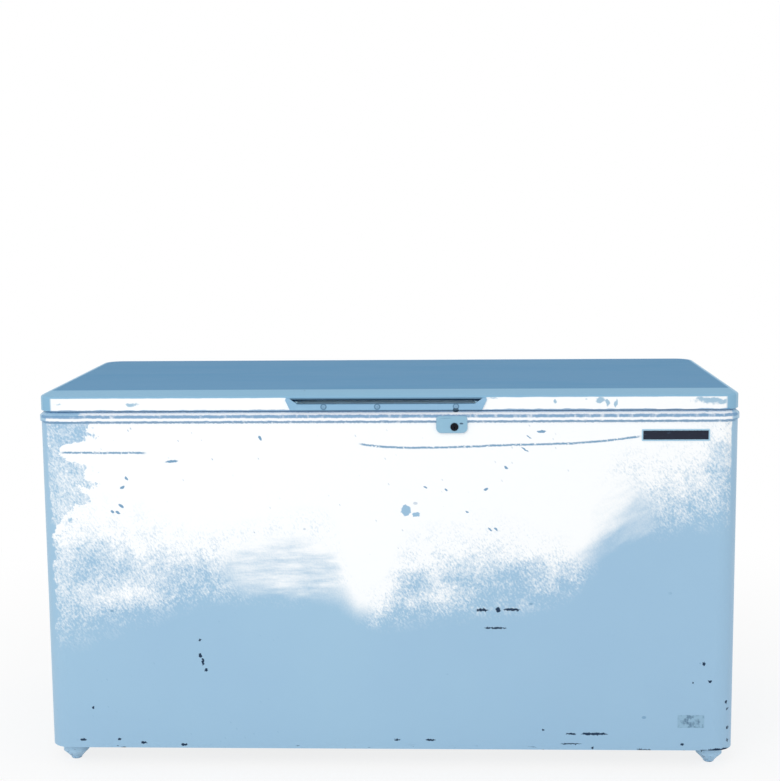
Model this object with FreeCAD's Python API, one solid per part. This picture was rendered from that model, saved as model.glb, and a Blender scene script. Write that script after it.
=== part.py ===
import FreeCAD
import Part
import math
import os
from FreeCAD import Vector

os.makedirs("parts", exist_ok=True)

# A chest freezer with one full-width lid, in millimetres: X to the right, Y to the back, Z up.
# The origin is on the floor, under the middle of the whole outline. The front faces -Y.

# Cabinet
rim_width = 1658.0
rim_depth = 755.0
rim_projection = 3.5  # how far the rim band stands out from the body
body_height = 800.0  # from the cabinet's underside to the rim band
corner_radius = 48.0  # upright corners of the body
outer_sheet = 1.0
back_lap = 25.0  # the wrapper's return along the back, past its corners
panel_lap = 15.0  # the back panel's overlap behind that return
fit = 0.3  # clearance between pieces that don't move
overrun = 6.0  # how far cuts run past the faces they open

# Top collar
band_height = 13.0
shoulder_height = 10.0
shoulder_run = 11.0
collar_wall = 3.0
collar_leg = 32.0  # inner leg, from the land down into the tub
collar_edge_radius = 1.4

# Feet and base
foot_height = 45.0
foot_inset = 51.5
foot_flange_radius = 31.0
foot_flange_height = 22.0
foot_neck_radius = 19.0
foot_neck_height = 11.0  # the lower end of the foot's cone, above the floor
foot_pad_radius = 13.0
foot_pad_edge = 4.0
base_sheet = 1.5
base_flange = 30.0

# Tub and insulation
wall_insulation = 76.0
floor_insulation = 86.0
step_insulation = 60.0
liner_sheet = 1.0
liner_flange = 12.0
tub_corner_radius = 34.0
tub_floor_radius = 14.0

# Machine bay under the tub's step
bay_width = 300.0
bay_height = 262.0
bay_sheet = 1.0
side_slot_count = 8
side_slot_length = 150.0
side_slot_height = 6.0
side_slot_pitch = 18.0
side_slot_rise = 60.0  # lowest slot above the cabinet's underside

# Lid
lid_inset = 3.5  # the lid's edge, in from the rim band
lid_gap = 2.0  # the lid's lower edge above the land
lid_height = 35.5
lid_edge_radius = 5.0
lid_sheet = 1.0
front_fall = 1.0  # the lid top curves down by this much at the front
front_fall_run = 112.0
lid_return = 24.0  # inward flange at the lid's lower edge

# Lid inner panel and gasket
panel_sheet = 2.0
panel_inset = 18.0
plug_clearance = 11.0
plug_drop = 20.0  # how far the plug reaches below the land
plug_draft = 9.0
gasket_inset = 30.0
gasket_width = 16.0
gasket_channel = 8.0  # how deep the gasket's base sits in the panel
gasket_neck = 8.0
gasket_magnet_height = 3.5
gasket_base_height = 4.0

# Handle
handle_top_length = 476.0
handle_bottom_length = 449.0
handle_projection = 3.0
handle_foot_gap = 0.5  # the handle's lower edge above the lid's lower edge
handle_corner_radius = 4.0
handle_wall = 2.0
slot_rise = 16.8  # the finger slot's lower edge above the lid's lower edge
slot_top_margin = 0.8
slot_top_length = 450.0
slot_bottom_length = 418.0
grip_lip = 8.0
grip_lip_sheet = 1.0
grip_depth = 24.0
grip_rise = 1.5
grip_floor_slope = 3.0
handle_screw_shares = (-0.65, -0.09, 0.73)  # along half of the handle's lower edge
handle_screw_rise = 9.3
handle_screw_head_radius = 4.8
notch_width = 13.0  # the catch's opening over the lock
notch_height = 4.5
notch_radius = 2.0
notch_shift = 3.5  # the opening's middle, right of the key
screw_radius = 2.0
screw_head_radius = 3.8
screw_head_height = 1.8

# Lock
lock_x = 160.0
lock_drop = 36.5  # the key's axis below the land
lock_plate_width = 73.0
lock_plate_height = 40.0
lock_plate_thickness = 6.0
lock_plate_shift = 6.0  # the plate's middle is left of the key
lock_plate_rise = 5.5  # and above it
lock_plate_top_radius = 8.0
lock_plate_bottom_radius = 12.0
lock_plate_edge = 1.2
key_radius = 9.0
key_projection = 1.5
key_slot_width = 2.0
key_slot_length = 10.0
key_slot_depth = 10.0
key_clearance = 0.06
boss_radius = 11.5
case_wall = 1.5
case_depth = 24.0
case_left = 60.0
case_right = 20.0
case_below = 16.0
hook_setback = 13.0  # the hook's front face behind the body's front
hook_thickness = 3.0
hook_width = 11.0
hook_length = 46.5
hook_nose_width = 4.5
hook_nose_length = 12.0
hook_room = 1.5
shank_radius = 4.0
nut_radius = 7.0
nut_height = 4.0
striker_thickness = 2.0
striker_left = 46.0
striker_right = 30.0
striker_slot_left = 34.0
striker_slot_right = 7.0
striker_setback = 5.0  # behind the inside of the lid's front
striker_depth = 11.5

# Hinges
hinge_inset = 269.0  # the hinge's middle, in from the rim's end
lid_travel = 85.0  # degrees the lid opens
hinge_offset = 10.0  # the pin behind the rim band
hinge_drop = 2.0  # the pin below the land
pin_radius = 4.0
pin_clearance = 0.05
pin_head_radius = 6.0
pin_head_height = 2.0
knuckle_radius = 7.0
knuckle_length = 40.0
ear_radius = 8.0
ear_thickness = 4.0
ear_gap = 0.5
ear_clear = 1.2  # between the ears and the rim band
bracket_sheet = 2.5
bracket_height = 150.0
bracket_flange = 20.0
bracket_screw_margin = 18.0
leaf_sheet = 2.5
leaf_length = 84.0
leaf_height = 22.0
leaf_rise = 4.0
leaf_screw_margin = 10.0
hinge_screw_radius = 2.5
hinge_screw_head_radius = 4.6
hinge_screw_head_height = 2.4

# Counterbalance springs in the hinges
cam_width = 16.0
cam_reach = 11.4  # the lobe's face below the pin with the lid shut
cam_rate = 2.9  # how far the lobe's face moves for each radian of the lid
cam_stations = 12
plunger_gap = 0.3
plunger_height = 36.0
plunger_crown = 5.0
plunger_edge = 2.0
seat_rise = 80.0  # the spring's seat above the bracket's lower edge
seat_sheet = 3.0
seat_peg_height = 6.0
spring_radius = 5.0  # the coil's middle line
wire_radius = 1.1
spring_turns = 11
turn_samples = 24  # points per turn for the clearance print
spring_end_gap = 0.1
closed_turn_gap = 0.6  # between the turns at each closed end
spring_room = 0.5

# Compressor
compressor_radius = 85.0
compressor_height = 188.0
compressor_dish = 26.0
compressor_crown = 40.0
seam_radius = 89.0
seam_height = 6.0
seam_height_share = 0.5
compressor_setback = 145.0  # from the inside of the back to the compressor's axis
plinth_size = 190.0
plinth_sheet = 3.0
plinth_corner = 12.0
mount_pitch = 160.0
grommet_radius = 12.0
grommet_height = 14.0
stud_radius = 3.0
stud_clearance = 0.3
stud_top = 8.0
stud_nut_radius = 6.0
stud_nut_height = 5.0
stub_length = 20.0
suction_rise = 140.0
discharge_rise = 100.0
relay_width = 62.0
relay_depth = 34.0
relay_height = 58.0
relay_rise = 60.0
relay_corner = 6.0

# Refrigerant tubes
evaporator_radius = 4.0
condenser_radius = 2.5
capillary_radius = 1.2
coil_pitch = 95.0
coil_runs = 4
coil_start = 45.0  # lowest run above the tub's step
coil_reach = 120.0  # the coils' rear turns in front of the compressor's axis
riser_spacing = 60.0
channel_clearance = 0.7
bay_bend = 14.0
riser_end = 18.0  # how far the risers come down into the bay
drier_radius = 10.0
drier_length = 90.0
drier_cone = 14.0
drier_inboard = 38.0
capillary_bend = 7.0
capillary_drop = 22.0

# Rear grille, thermostat and cord inlet
grille_sheet = 3.0
grille_margin = 12.0  # the grille's overlap round the service opening
grille_corner = 8.0
grille_left = 16.0  # the opening, in from the bay's side wall
grille_right = 8.0  # the grille, in from the wrapper's return
grille_low = 50.0
grille_head = 20.0
grille_slot_count = 7
grille_slot_height = 8.0
grille_slot_pitch = 16.0
grille_slot_rise = 36.0
grille_slot_margin = 18.0
grille_screw_margin = 6.0
thermostat_width = 46.0
thermostat_depth = 32.0
thermostat_height = 36.0
thermostat_drop = 30.0  # the knob's axis below the top of the grille
spindle_radius = 3.0
spindle_clearance = 0.06
spindle_depth = 12.0
knob_radius = 17.0
knob_base_radius = 19.0
knob_height = 13.0
knob_base_height = 3.0
knob_gap = 0.5
knob_edge = 1.5
pointer_width = 4.0
pointer_height = 1.5
inlet_radius = 11.0
inlet_flange_radius = 15.0
inlet_flange_height = 3.0
inlet_length = 14.0
inlet_bore_radius = 5.0
inlet_bore_depth = 10.0
inlet_margin = 26.0
inlet_rise = 18.0

# Places that follow from the sizes above
body_width = rim_width - 2 * rim_projection
body_depth = rim_depth - 2 * rim_projection
rim_radius = corner_radius + rim_projection
rim_bottom_z = foot_height + body_height
crease_z = rim_bottom_z + band_height
land_z = crease_z + shoulder_height
wrapper_top_z = crease_z - collar_wall
base_top_z = foot_height + base_sheet

front_reach = lock_plate_thickness + key_projection - rim_projection
rear_reach = hinge_offset + ear_radius
mid_y = (front_reach - rear_reach) / 2
body_front = mid_y - body_depth / 2
body_back = mid_y + body_depth / 2
rim_back = mid_y + rim_depth / 2
inner_back = body_back - 2 * outer_sheet

tub_width = body_width - 2 * (outer_sheet + wall_insulation + liner_sheet)
tub_depth = body_depth - 2 * (outer_sheet + wall_insulation + liner_sheet)
tub_floor_z = base_top_z + floor_insulation + liner_sheet
bay_left = body_width / 2 - outer_sheet - bay_width
bay_top_z = base_top_z + bay_height
step_x = bay_left - bay_sheet - step_insulation - liner_sheet
step_z = bay_top_z + bay_sheet + step_insulation + liner_sheet
liner_top_z = land_z - collar_wall
mouth_width = tub_width - 2 * (fit + collar_wall)
mouth_depth = tub_depth - 2 * (fit + collar_wall)
mouth_radius = tub_corner_radius - fit - collar_wall

lid_width = rim_width - 2 * lid_inset
lid_depth = rim_depth - 2 * lid_inset
lid_radius = rim_radius - lid_inset
lid_bottom_z = land_z + lid_gap
lid_top_z = lid_bottom_z + lid_height
lid_front = mid_y - lid_depth / 2
lid_back = mid_y + lid_depth / 2
panel_z = lid_bottom_z + lid_sheet
panel_top_z = panel_z + panel_sheet

handle_top_z = lid_top_z - front_fall - lid_edge_radius
handle_bottom_z = lid_bottom_z + handle_foot_gap
slot_bottom_z = lid_bottom_z + slot_rise
slot_top_z = handle_top_z - slot_top_margin
grip_top_z = slot_top_z + grip_rise

lock_z = land_z - lock_drop
hook_y = body_front + hook_setback
hinge_x = rim_width / 2 - hinge_inset
pin_y = rim_back + hinge_offset
pin_z = land_z - hinge_drop
ear_reach = knuckle_length / 2 + ear_gap
ear_far = pin_y + ear_radius
bracket_high = rim_bottom_z - ear_clear
bracket_low = bracket_high - bracket_height
plunger_front = rim_back + ear_clear
plunger_back = ear_far - plunger_gap
plunger_top_z = pin_z - cam_reach - plunger_gap
spring_y = (plunger_front + plunger_back) / 2
seat_z = bracket_low + seat_rise

compressor_x = bay_left + bay_width / 2
compressor_y = inner_back - compressor_setback
compressor_z = base_top_z + grommet_height + plinth_sheet
coil_z = step_z + coil_start
riser_z = bay_top_z - riser_end

opening_left = bay_left + grille_left
opening_right = body_width / 2 - corner_radius - back_lap - grille_right - grille_margin
opening_low = base_top_z + grille_low
opening_high = bay_top_z - grille_head
knob_x = (opening_left + opening_right) / 2
knob_z = opening_high - thermostat_drop
inlet_x = opening_left + inlet_margin
inlet_z = opening_low + inlet_rise


# Shapes that several pieces share

def block(x0, x1, y0, y1, z0, z1):
    return Part.makeBox(x1 - x0, y1 - y0, z1 - z0, Vector(x0, y0, z0))


def outline(width, depth, radius, z):
    reach_x = width / 2 - radius
    reach_y = depth / 2 - radius
    arcs = []
    for quarter, (side_x, side_y) in enumerate(((1, 1), (-1, 1), (-1, -1), (1, -1))):
        centre = Vector(side_x * reach_x, mid_y + side_y * reach_y, z)
        angles = [math.pi / 2 * quarter + math.pi / 4 * half for half in range(3)]
        points = [centre + Vector(math.cos(a), math.sin(a), 0) * radius for a in angles]
        arcs.append(Part.Arc(*points).toShape())
    edges = []
    for this, following in zip(arcs, arcs[1:] + arcs[:1]):
        edges.append(this)
        edges.append(Part.makeLine(this.Vertexes[-1].Point, following.Vertexes[0].Point))
    return Part.Wire(edges)


def slab(width, depth, radius, low_z, high_z):
    face = Part.Face(outline(width, depth, radius, low_z))
    return face.extrude(Vector(0, 0, high_z - low_z))


def taper(low_outline, high_outline):
    return Part.makeLoft([low_outline, high_outline], True, True)


def profile(points, travel):
    corners = [Vector(*point) for point in points]
    return Part.Face(Part.makePolygon(corners + corners[:1])).extrude(Vector(*travel))


def rod(radius, start, end):
    return Part.makeCylinder(radius, (end - start).Length, start, end - start)


def along_y(radius, x, z, y0, y1):
    return rod(radius, Vector(x, y0, z), Vector(x, y1, z))


def along_x(radius, y, z, x0, x1):
    return rod(radius, Vector(x0, y, z), Vector(x1, y, z))


def upright(radius, x, y, z0, z1):
    return rod(radius, Vector(x, y, z0), Vector(x, y, z1))


def edges_where(shape, test):
    return [edge for edge in shape.Edges if test(edge.BoundBox)]


def round_upright_edges(shape, radius):
    return shape.makeFillet(radius, edges_where(shape, lambda b: b.XLength + b.YLength < fit))


def basin(width, depth, radius, floor_radius, low_z, high_z):
    solid = slab(width, depth, radius, low_z, high_z)
    return solid.makeFillet(floor_radius, edges_where(solid, lambda b: b.ZMax < low_z + fit))


def tub_volume(offset, high_z):
    tub = basin(tub_width + 2 * offset, tub_depth + 2 * offset, tub_corner_radius + offset,
                tub_floor_radius + offset, tub_floor_z - offset, high_z)
    step = block(step_x + offset, rim_width, -rim_depth, rim_depth, 0, step_z - offset)
    brow = edges_where(step, lambda b: b.ZMin > step_z - offset - fit and b.XMax < step_x + offset + fit)
    return tub.cut(step.makeFillet(tub_floor_radius - offset, brow))


def bent_path(points, bend):
    edges = []
    start = points[0]
    for before, corner, after in zip(points, points[1:], points[2:]):
        inward = (corner - before).normalize()
        outward = (after - corner).normalize()
        half_turn = inward.getAngle(outward) / 2
        first = corner - inward * (bend * math.tan(half_turn))
        last = corner + outward * (bend * math.tan(half_turn))
        aside = (outward - inward).normalize()
        middle = corner + aside * (bend / math.cos(half_turn) - bend)
        edges.append(Part.makeLine(start, first))
        edges.append(Part.Arc(first, middle, last).toShape())
        start = last
    edges.append(Part.makeLine(start, points[-1]))
    return Part.Wire(edges)


def bent_tube(points, bend, radius):
    section = Part.Wire(Part.makeCircle(radius, points[0], points[1] - points[0]))
    return bent_path(points, bend).makePipeShell([section], True, False)


def screw(x, y, z, direction, grip, radius, head_radius, head_height):
    seat = Vector(x, y, z)
    way = Vector(0, direction, 0)
    head = Part.makeCylinder(head_radius, head_height, seat, way)
    half = head_height / 2
    head = head.makeFillet(half, edges_where(head, lambda b: abs(b.Center.y - y) > half))
    return head.fuse(Part.makeCylinder(radius, grip, seat, way * -1))


# Cabinet

def back_opening():
    reach = body_width / 2 - corner_radius - back_lap
    return block(-reach, reach, mid_y, body_back + overrun, foot_height - overrun, wrapper_top_z + overrun)


def cabinet_wrapper():
    outer = slab(body_width, body_depth, corner_radius, foot_height, wrapper_top_z)
    inner = slab(body_width - 2 * outer_sheet, body_depth - 2 * outer_sheet, corner_radius - outer_sheet,
                 foot_height - overrun, wrapper_top_z + overrun)
    sheet = outer.cut(inner).cut(back_opening())
    slots = []
    for row in range(side_slot_count):
        low = foot_height + side_slot_rise + row * side_slot_pitch
        slots.append(block(body_width / 2 - overrun, body_width / 2 + overrun,
                           mid_y - side_slot_length / 2, mid_y + side_slot_length / 2,
                           low, low + side_slot_height))
    boss = along_y(boss_radius + fit, lock_x, lock_z, body_front - overrun, body_front + overrun)
    return sheet.cut(slots + [boss])


def back_panel():
    reach = body_width / 2 - corner_radius - back_lap + panel_lap
    y0 = inner_back
    y1 = body_back - outer_sheet
    sheet = block(-reach, reach, y0, y1, foot_height + base_flange + fit, wrapper_top_z)
    service = block(opening_left, opening_right, y0 - overrun, y1 + overrun, opening_low, opening_high)
    return sheet.cut([service] + bracket_screw_holes(y0 - overrun, y1 + overrun))


def base_pan():
    clear = 2 * (outer_sheet + fit)
    width = body_width - clear
    depth = body_depth - clear
    radius = corner_radius - outer_sheet - fit
    tray = slab(width, depth, radius, foot_height, foot_height + base_flange)
    inside = slab(width - 2 * base_sheet, depth - 2 * base_sheet, radius - base_sheet,
                  base_top_z, foot_height + base_flange + overrun)
    return tray.cut(inside)


def foot(side_x, side_y):
    x = side_x * (body_width / 2 - foot_inset)
    y = mid_y + side_y * (body_depth / 2 - foot_inset)
    ease = foot_pad_edge * (1 - math.sqrt(1 / 2))
    pad = Vector(foot_pad_radius, 0, foot_pad_edge)
    toe = Vector(foot_pad_radius - foot_pad_edge, 0, 0)
    corners = [toe, Vector(0, 0, 0), Vector(0, 0, foot_height), Vector(foot_flange_radius, 0, foot_height),
               Vector(foot_flange_radius, 0, foot_height - foot_flange_height),
               Vector(foot_neck_radius, 0, foot_neck_height), pad]
    edges = [Part.makeLine(this, following) for this, following in zip(corners, corners[1:])]
    edges.append(Part.Arc(pad, Vector(foot_pad_radius - ease, 0, ease), toe).toShape())
    turned = Part.Face(Part.Wire(edges)).revolve(Vector(0, 0, 0), Vector(0, 0, 1), 360)
    turned.translate(Vector(x, y, 0))
    return turned


def inner_liner():
    shell = tub_volume(liner_sheet, liner_top_z)
    flange = slab(tub_width + 2 * liner_flange, tub_depth + 2 * liner_flange,
                  tub_corner_radius + liner_flange, liner_top_z - liner_sheet, liner_top_z)
    return shell.fuse(flange).cut(tub_volume(0, liner_top_z + overrun))


def foam_outside():
    clear = 2 * (outer_sheet + fit)
    low_clear = clear + 2 * (base_sheet + fit)
    flange_top = foot_height + base_flange + fit
    upper = slab(body_width - clear, body_depth - clear, corner_radius - clear / 2, flange_top,
                 wrapper_top_z - fit)
    lower = slab(body_width - low_clear, body_depth - low_clear, corner_radius - low_clear / 2,
                 base_top_z + fit, flange_top)
    behind = block(-rim_width, rim_width, inner_back - fit, rim_depth, 0, land_z)
    return upper.fuse(lower).cut(behind)


def foam_body():
    bay = block(bay_left - bay_sheet - fit, rim_width, -rim_depth, rim_depth, 0, bay_top_z + bay_sheet + fit)
    solid = foam_outside().cut(tub_volume(liner_sheet + fit, land_z)).cut(bay)
    solid = solid.cut(case_block(fit, land_z))
    solid = solid.cut(evaporator_tube(evaporator_radius + channel_clearance))
    solid = solid.cut(condenser_tube(condenser_radius + channel_clearance))
    return solid


def top_collar():
    inner = 2 * fit
    band = slab(rim_width, rim_depth, rim_radius, rim_bottom_z, crease_z)
    shoulder = taper(outline(rim_width, rim_depth, rim_radius, crease_z),
                     outline(rim_width - 2 * shoulder_run, rim_depth - 2 * shoulder_run,
                             rim_radius - shoulder_run, land_z))
    width = body_width + inner
    depth = body_depth + inner
    under = slab(width, depth, corner_radius + fit, rim_bottom_z - overrun, wrapper_top_z)
    under_shoulder = taper(outline(width, depth, corner_radius + fit, wrapper_top_z),
                           outline(width - 2 * shoulder_run, depth - 2 * shoulder_run,
                                   corner_radius + fit - shoulder_run, liner_top_z))
    leg = slab(tub_width - inner, tub_depth - inner, tub_corner_radius - fit, land_z - collar_leg, land_z)
    mouth = slab(mouth_width, mouth_depth, mouth_radius, land_z - collar_leg - overrun, land_z + overrun)
    ring = band.fuse(shoulder).cut(under).cut(under_shoulder).fuse(leg).cut(mouth).removeSplitter()
    edge = edges_where(ring, lambda b: b.ZMin > land_z - fit and b.XLength < mouth_width + fit
                       and abs(b.Center.x) <= mouth_width / 2 and abs(b.Center.y - mid_y) <= mouth_depth / 2)
    ring = ring.makeFillet(collar_edge_radius, edge)
    slot = block(lock_x - striker_slot_left - overrun, lock_x + hook_nose_length + hook_room,
                 hook_y - hook_room, hook_y + hook_thickness + hook_room, liner_top_z - fit, land_z + overrun)
    return ring.cut(slot)


def bay_panel():
    inside = slab(body_width - 2 * (outer_sheet + fit), body_depth - 2 * (outer_sheet + fit),
                  corner_radius - outer_sheet - fit, base_top_z, bay_top_z + bay_sheet)
    inside = inside.cut(block(-rim_width, rim_width, inner_back - fit, rim_depth, 0, land_z))
    lip = base_sheet + fit
    low = block(-rim_width, rim_width, -rim_depth, body_front + outer_sheet + fit + lip, 0,
                foot_height + base_flange + fit)
    back_low = block(-rim_width, rim_width, inner_back - lip, rim_depth, 0, foot_height + base_flange + fit)
    wall = block(bay_left - bay_sheet, bay_left, -rim_depth, rim_depth, base_top_z, bay_top_z + bay_sheet)
    roof = block(bay_left - bay_sheet, rim_width, -rim_depth, rim_depth, bay_top_z, bay_top_z + bay_sheet)
    sheet = wall.fuse(roof).common(inside).cut([low, back_low])
    return sheet.cut([evaporator_tube(evaporator_radius + channel_clearance),
                      condenser_tube(condenser_radius + channel_clearance)])


# Refrigerant circuit

def coil_route(half_width, front_y, start_y, return_y, tail):
    rear_y = compressor_y - coil_reach
    points = [Vector(half_width, start_y, riser_z), Vector(half_width, start_y, coil_z)]
    for run in range(coil_runs):
        z = coil_z + run * coil_pitch
        side = 1 if run % 2 == 0 else -1
        if run > 0:
            points.append(Vector(side * half_width, rear_y, z))
        points.append(Vector(side * half_width, front_y, z))
        points.append(Vector(-side * half_width, front_y, z))
        if run < coil_runs - 1:
            points.append(Vector(-side * half_width, rear_y, z))
    points.append(Vector(half_width, return_y, coil_z + (coil_runs - 1) * coil_pitch))
    return points + tail


def evaporator_tube(radius):
    stand_off = liner_sheet + fit + evaporator_radius
    half_width = tub_width / 2 + stand_off
    front_y = mid_y - tub_depth / 2 - stand_off
    tail = [Vector(half_width, compressor_y, riser_z)]
    points = coil_route(half_width, front_y, compressor_y - riser_spacing, compressor_y, tail)
    return bent_tube(points, tub_corner_radius + stand_off, radius)


def condenser_tube(radius):
    stand_off = outer_sheet + fit + condenser_radius
    half_width = body_width / 2 - stand_off
    front_y = body_front + stand_off
    return_y = compressor_y + riser_spacing
    tail = [Vector(half_width, return_y, riser_z)]
    points = coil_route(half_width, front_y, compressor_y, return_y, tail)
    return bent_tube(points, corner_radius - stand_off, radius)


def evaporator_coil():
    return evaporator_tube(evaporator_radius)


def condenser_coil():
    return condenser_tube(condenser_radius)


def compressor():
    seam_z = compressor_z + compressor_height * seam_height_share
    top_z = compressor_z + compressor_height
    half = seam_height / 2
    ease = 1 - math.sqrt(1 / 2)
    rim = compressor_radius
    dish = compressor_dish
    crown = compressor_crown
    corners = [
        Vector(0, 0, compressor_z), Vector(rim - dish, 0, compressor_z),
        Vector(rim, 0, compressor_z + dish), Vector(rim, 0, seam_z - half),
        Vector(seam_radius, 0, seam_z - half), Vector(seam_radius, 0, seam_z + half),
        Vector(rim, 0, seam_z + half), Vector(rim, 0, top_z - crown),
        Vector(rim - crown, 0, top_z), Vector(0, 0, top_z),
    ]
    bends = {
        1: Vector(rim - dish * ease, 0, compressor_z + dish * ease),
        7: Vector(rim - crown * ease, 0, top_z - crown * ease),
    }
    edges = []
    for number, (this, following) in enumerate(zip(corners, corners[1:] + corners[:1])):
        bend = bends.get(number)
        edges.append(Part.Arc(this, bend, following).toShape() if bend else Part.makeLine(this, following))
    shell = Part.Face(Part.Wire(edges)).revolve(Vector(0, 0, 0), Vector(0, 0, 1), 360)
    shell.translate(Vector(compressor_x, compressor_y, 0))
    half_plinth = plinth_size / 2
    plinth = block(compressor_x - half_plinth, compressor_x + half_plinth, compressor_y - half_plinth,
                   compressor_y + half_plinth, compressor_z - plinth_sheet, compressor_z)
    plinth = round_upright_edges(plinth, plinth_corner)
    holes = [upright(stud_radius + stud_clearance, x, y, compressor_z - plinth_sheet - overrun,
                     compressor_z + overrun) for x, y in mount_places()]
    suction = along_x(evaporator_radius, compressor_y, compressor_z + suction_rise,
                      compressor_x - rim - stub_length, compressor_x)
    discharge = along_x(condenser_radius, compressor_y, compressor_z + discharge_rise,
                        compressor_x, compressor_x + rim + stub_length)
    return plinth.cut(holes).fuse([shell, suction, discharge])


def mount_places():
    reach = mount_pitch / 2
    return [(compressor_x + sx * reach, compressor_y + sy * reach) for sx in (-1, 1) for sy in (-1, 1)]


def compressor_grommets():
    rings = []
    for x, y in mount_places():
        body = upright(grommet_radius, x, y, base_top_z, base_top_z + grommet_height)
        rings.append(body.cut(upright(stud_radius + stud_clearance, x, y, base_top_z - overrun,
                                      base_top_z + grommet_height + overrun)))
    return Part.makeCompound(rings)


def compressor_studs():
    studs = []
    for x, y in mount_places():
        stem = upright(stud_radius, x, y, base_top_z, compressor_z + stud_nut_height + stud_top)
        nut = upright(stud_nut_radius, x, y, compressor_z, compressor_z + stud_nut_height)
        studs.append(stem.fuse(nut))
    return Part.makeCompound(studs)


def start_relay_box():
    front = compressor_y - compressor_radius
    low = compressor_z + relay_rise
    body = block(compressor_x - relay_width / 2, compressor_x + relay_width / 2, front - relay_depth,
                 compressor_y, low, low + relay_height)
    body = body.makeFillet(relay_corner, edges_where(body, lambda b: b.YMax < front - relay_depth + fit))
    shell = upright(compressor_radius + fit, compressor_x, compressor_y, 0, land_z)
    seam_z = compressor_z + compressor_height * seam_height_share
    seam = upright(seam_radius + fit, compressor_x, compressor_y, seam_z - seam_height / 2 - fit,
                   seam_z + seam_height / 2 + fit)
    return body.cut([shell, seam])


def discharge_pipe():
    end_x = body_width / 2 - outer_sheet - fit - condenser_radius
    z = compressor_z + discharge_rise
    points = [Vector(compressor_x + compressor_radius + stub_length, compressor_y, z),
              Vector(end_x, compressor_y, z), Vector(end_x, compressor_y, riser_z)]
    return bent_tube(points, bay_bend, condenser_radius)


def suction_pipe():
    end_x = tub_width / 2 + liner_sheet + fit + evaporator_radius
    z = compressor_z + suction_rise
    start_x = compressor_x - compressor_radius - stub_length
    turn_x = (bay_left + start_x) / 2
    over_z = riser_z - bay_bend - fit
    points = [Vector(start_x, compressor_y, z), Vector(turn_x, compressor_y, z),
              Vector(turn_x, compressor_y, over_z), Vector(end_x, compressor_y, over_z),
              Vector(end_x, compressor_y, riser_z)]
    return bent_tube(points, bay_bend, evaporator_radius)


def drier_place():
    x = body_width / 2 - outer_sheet - fit - condenser_radius - drier_inboard
    return x, compressor_y + riser_spacing, riser_z - 2 * bay_bend - drier_cone


def drier_feed():
    x, y, top = drier_place()
    start_x = body_width / 2 - outer_sheet - fit - condenser_radius
    points = [Vector(start_x, y, riser_z), Vector(start_x, y, riser_z - bay_bend - fit),
              Vector(x, y, riser_z - bay_bend - fit), Vector(x, y, top)]
    return bent_tube(points, bay_bend, condenser_radius)


def filter_drier():
    x, y, top = drier_place()
    body = upright(drier_radius, x, y, top - drier_length + drier_cone, top - drier_cone)
    head = Part.makeCone(drier_radius, condenser_radius, drier_cone, Vector(x, y, top - drier_cone))
    tail = Part.makeCone(capillary_radius, drier_radius, drier_cone, Vector(x, y, top - drier_length))
    return body.fuse([head, tail])


def capillary_tube():
    x, y, top = drier_place()
    low = top - drier_length
    end_x = tub_width / 2 + liner_sheet + fit + evaporator_radius
    end_y = compressor_y - riser_spacing
    turn_y = (y + compressor_y + compressor_radius) / 2
    over_z = riser_z - capillary_drop
    under_z = low - capillary_drop
    points = [Vector(x, y, low), Vector(x, y, under_z), Vector(end_x, turn_y, under_z),
              Vector(end_x, turn_y, over_z), Vector(end_x, end_y, over_z), Vector(end_x, end_y, riser_z)]
    return bent_tube(points, capillary_bend, capillary_radius)


# Rear grille and thermostat

def rear_grille():
    y0 = body_back - outer_sheet
    low = opening_low - grille_margin
    high = opening_high + grille_margin
    left = opening_left - grille_margin
    right = opening_right + grille_margin
    panel = block(left, right, y0, y0 + grille_sheet, low, high)
    corners = edges_where(panel, lambda b: b.XLength + b.ZLength < fit)
    panel = panel.makeFillet(grille_corner, corners)
    cuts = []
    for row in range(grille_slot_count):
        slot_low = opening_low + grille_slot_rise + row * grille_slot_pitch
        cuts.append(block(opening_left + grille_slot_margin, opening_right - grille_slot_margin,
                          y0 - overrun, y0 + grille_sheet + overrun, slot_low, slot_low + grille_slot_height))
    cuts.append(along_y(spindle_radius + fit, knob_x, knob_z, y0 - overrun, y0 + grille_sheet + overrun))
    cuts.append(along_y(inlet_radius + fit, inlet_x, inlet_z, y0 - overrun, y0 + grille_sheet + overrun))
    for x, z in grille_screw_places():
        cuts.append(along_y(screw_radius + fit, x, z, y0 - overrun, y0 + grille_sheet + overrun))
    return panel.cut(cuts)


def grille_screw_places():
    reach = grille_margin - grille_screw_margin
    return [(x, z) for x in (opening_left - reach, opening_right + reach)
            for z in (opening_low - reach, opening_high + reach)]


def grille_screws():
    y = body_back - outer_sheet + grille_sheet
    return Part.makeCompound([screw(x, y, z, 1, grille_sheet, screw_radius, screw_head_radius,
                                    screw_head_height) for x, z in grille_screw_places()])


def thermostat():
    y1 = body_back - outer_sheet
    body = block(knob_x - thermostat_width / 2, knob_x + thermostat_width / 2, y1 - thermostat_depth, y1,
                 knob_z - thermostat_height / 2, knob_z + thermostat_height / 2)
    body = body.makeFillet(knob_edge, edges_where(body, lambda b: b.YMax < y1 - thermostat_depth + fit))
    bore = along_y(spindle_radius + spindle_clearance, knob_x, knob_z, y1 - spindle_depth - fit, y1 + overrun)
    return body.cut(bore)


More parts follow.
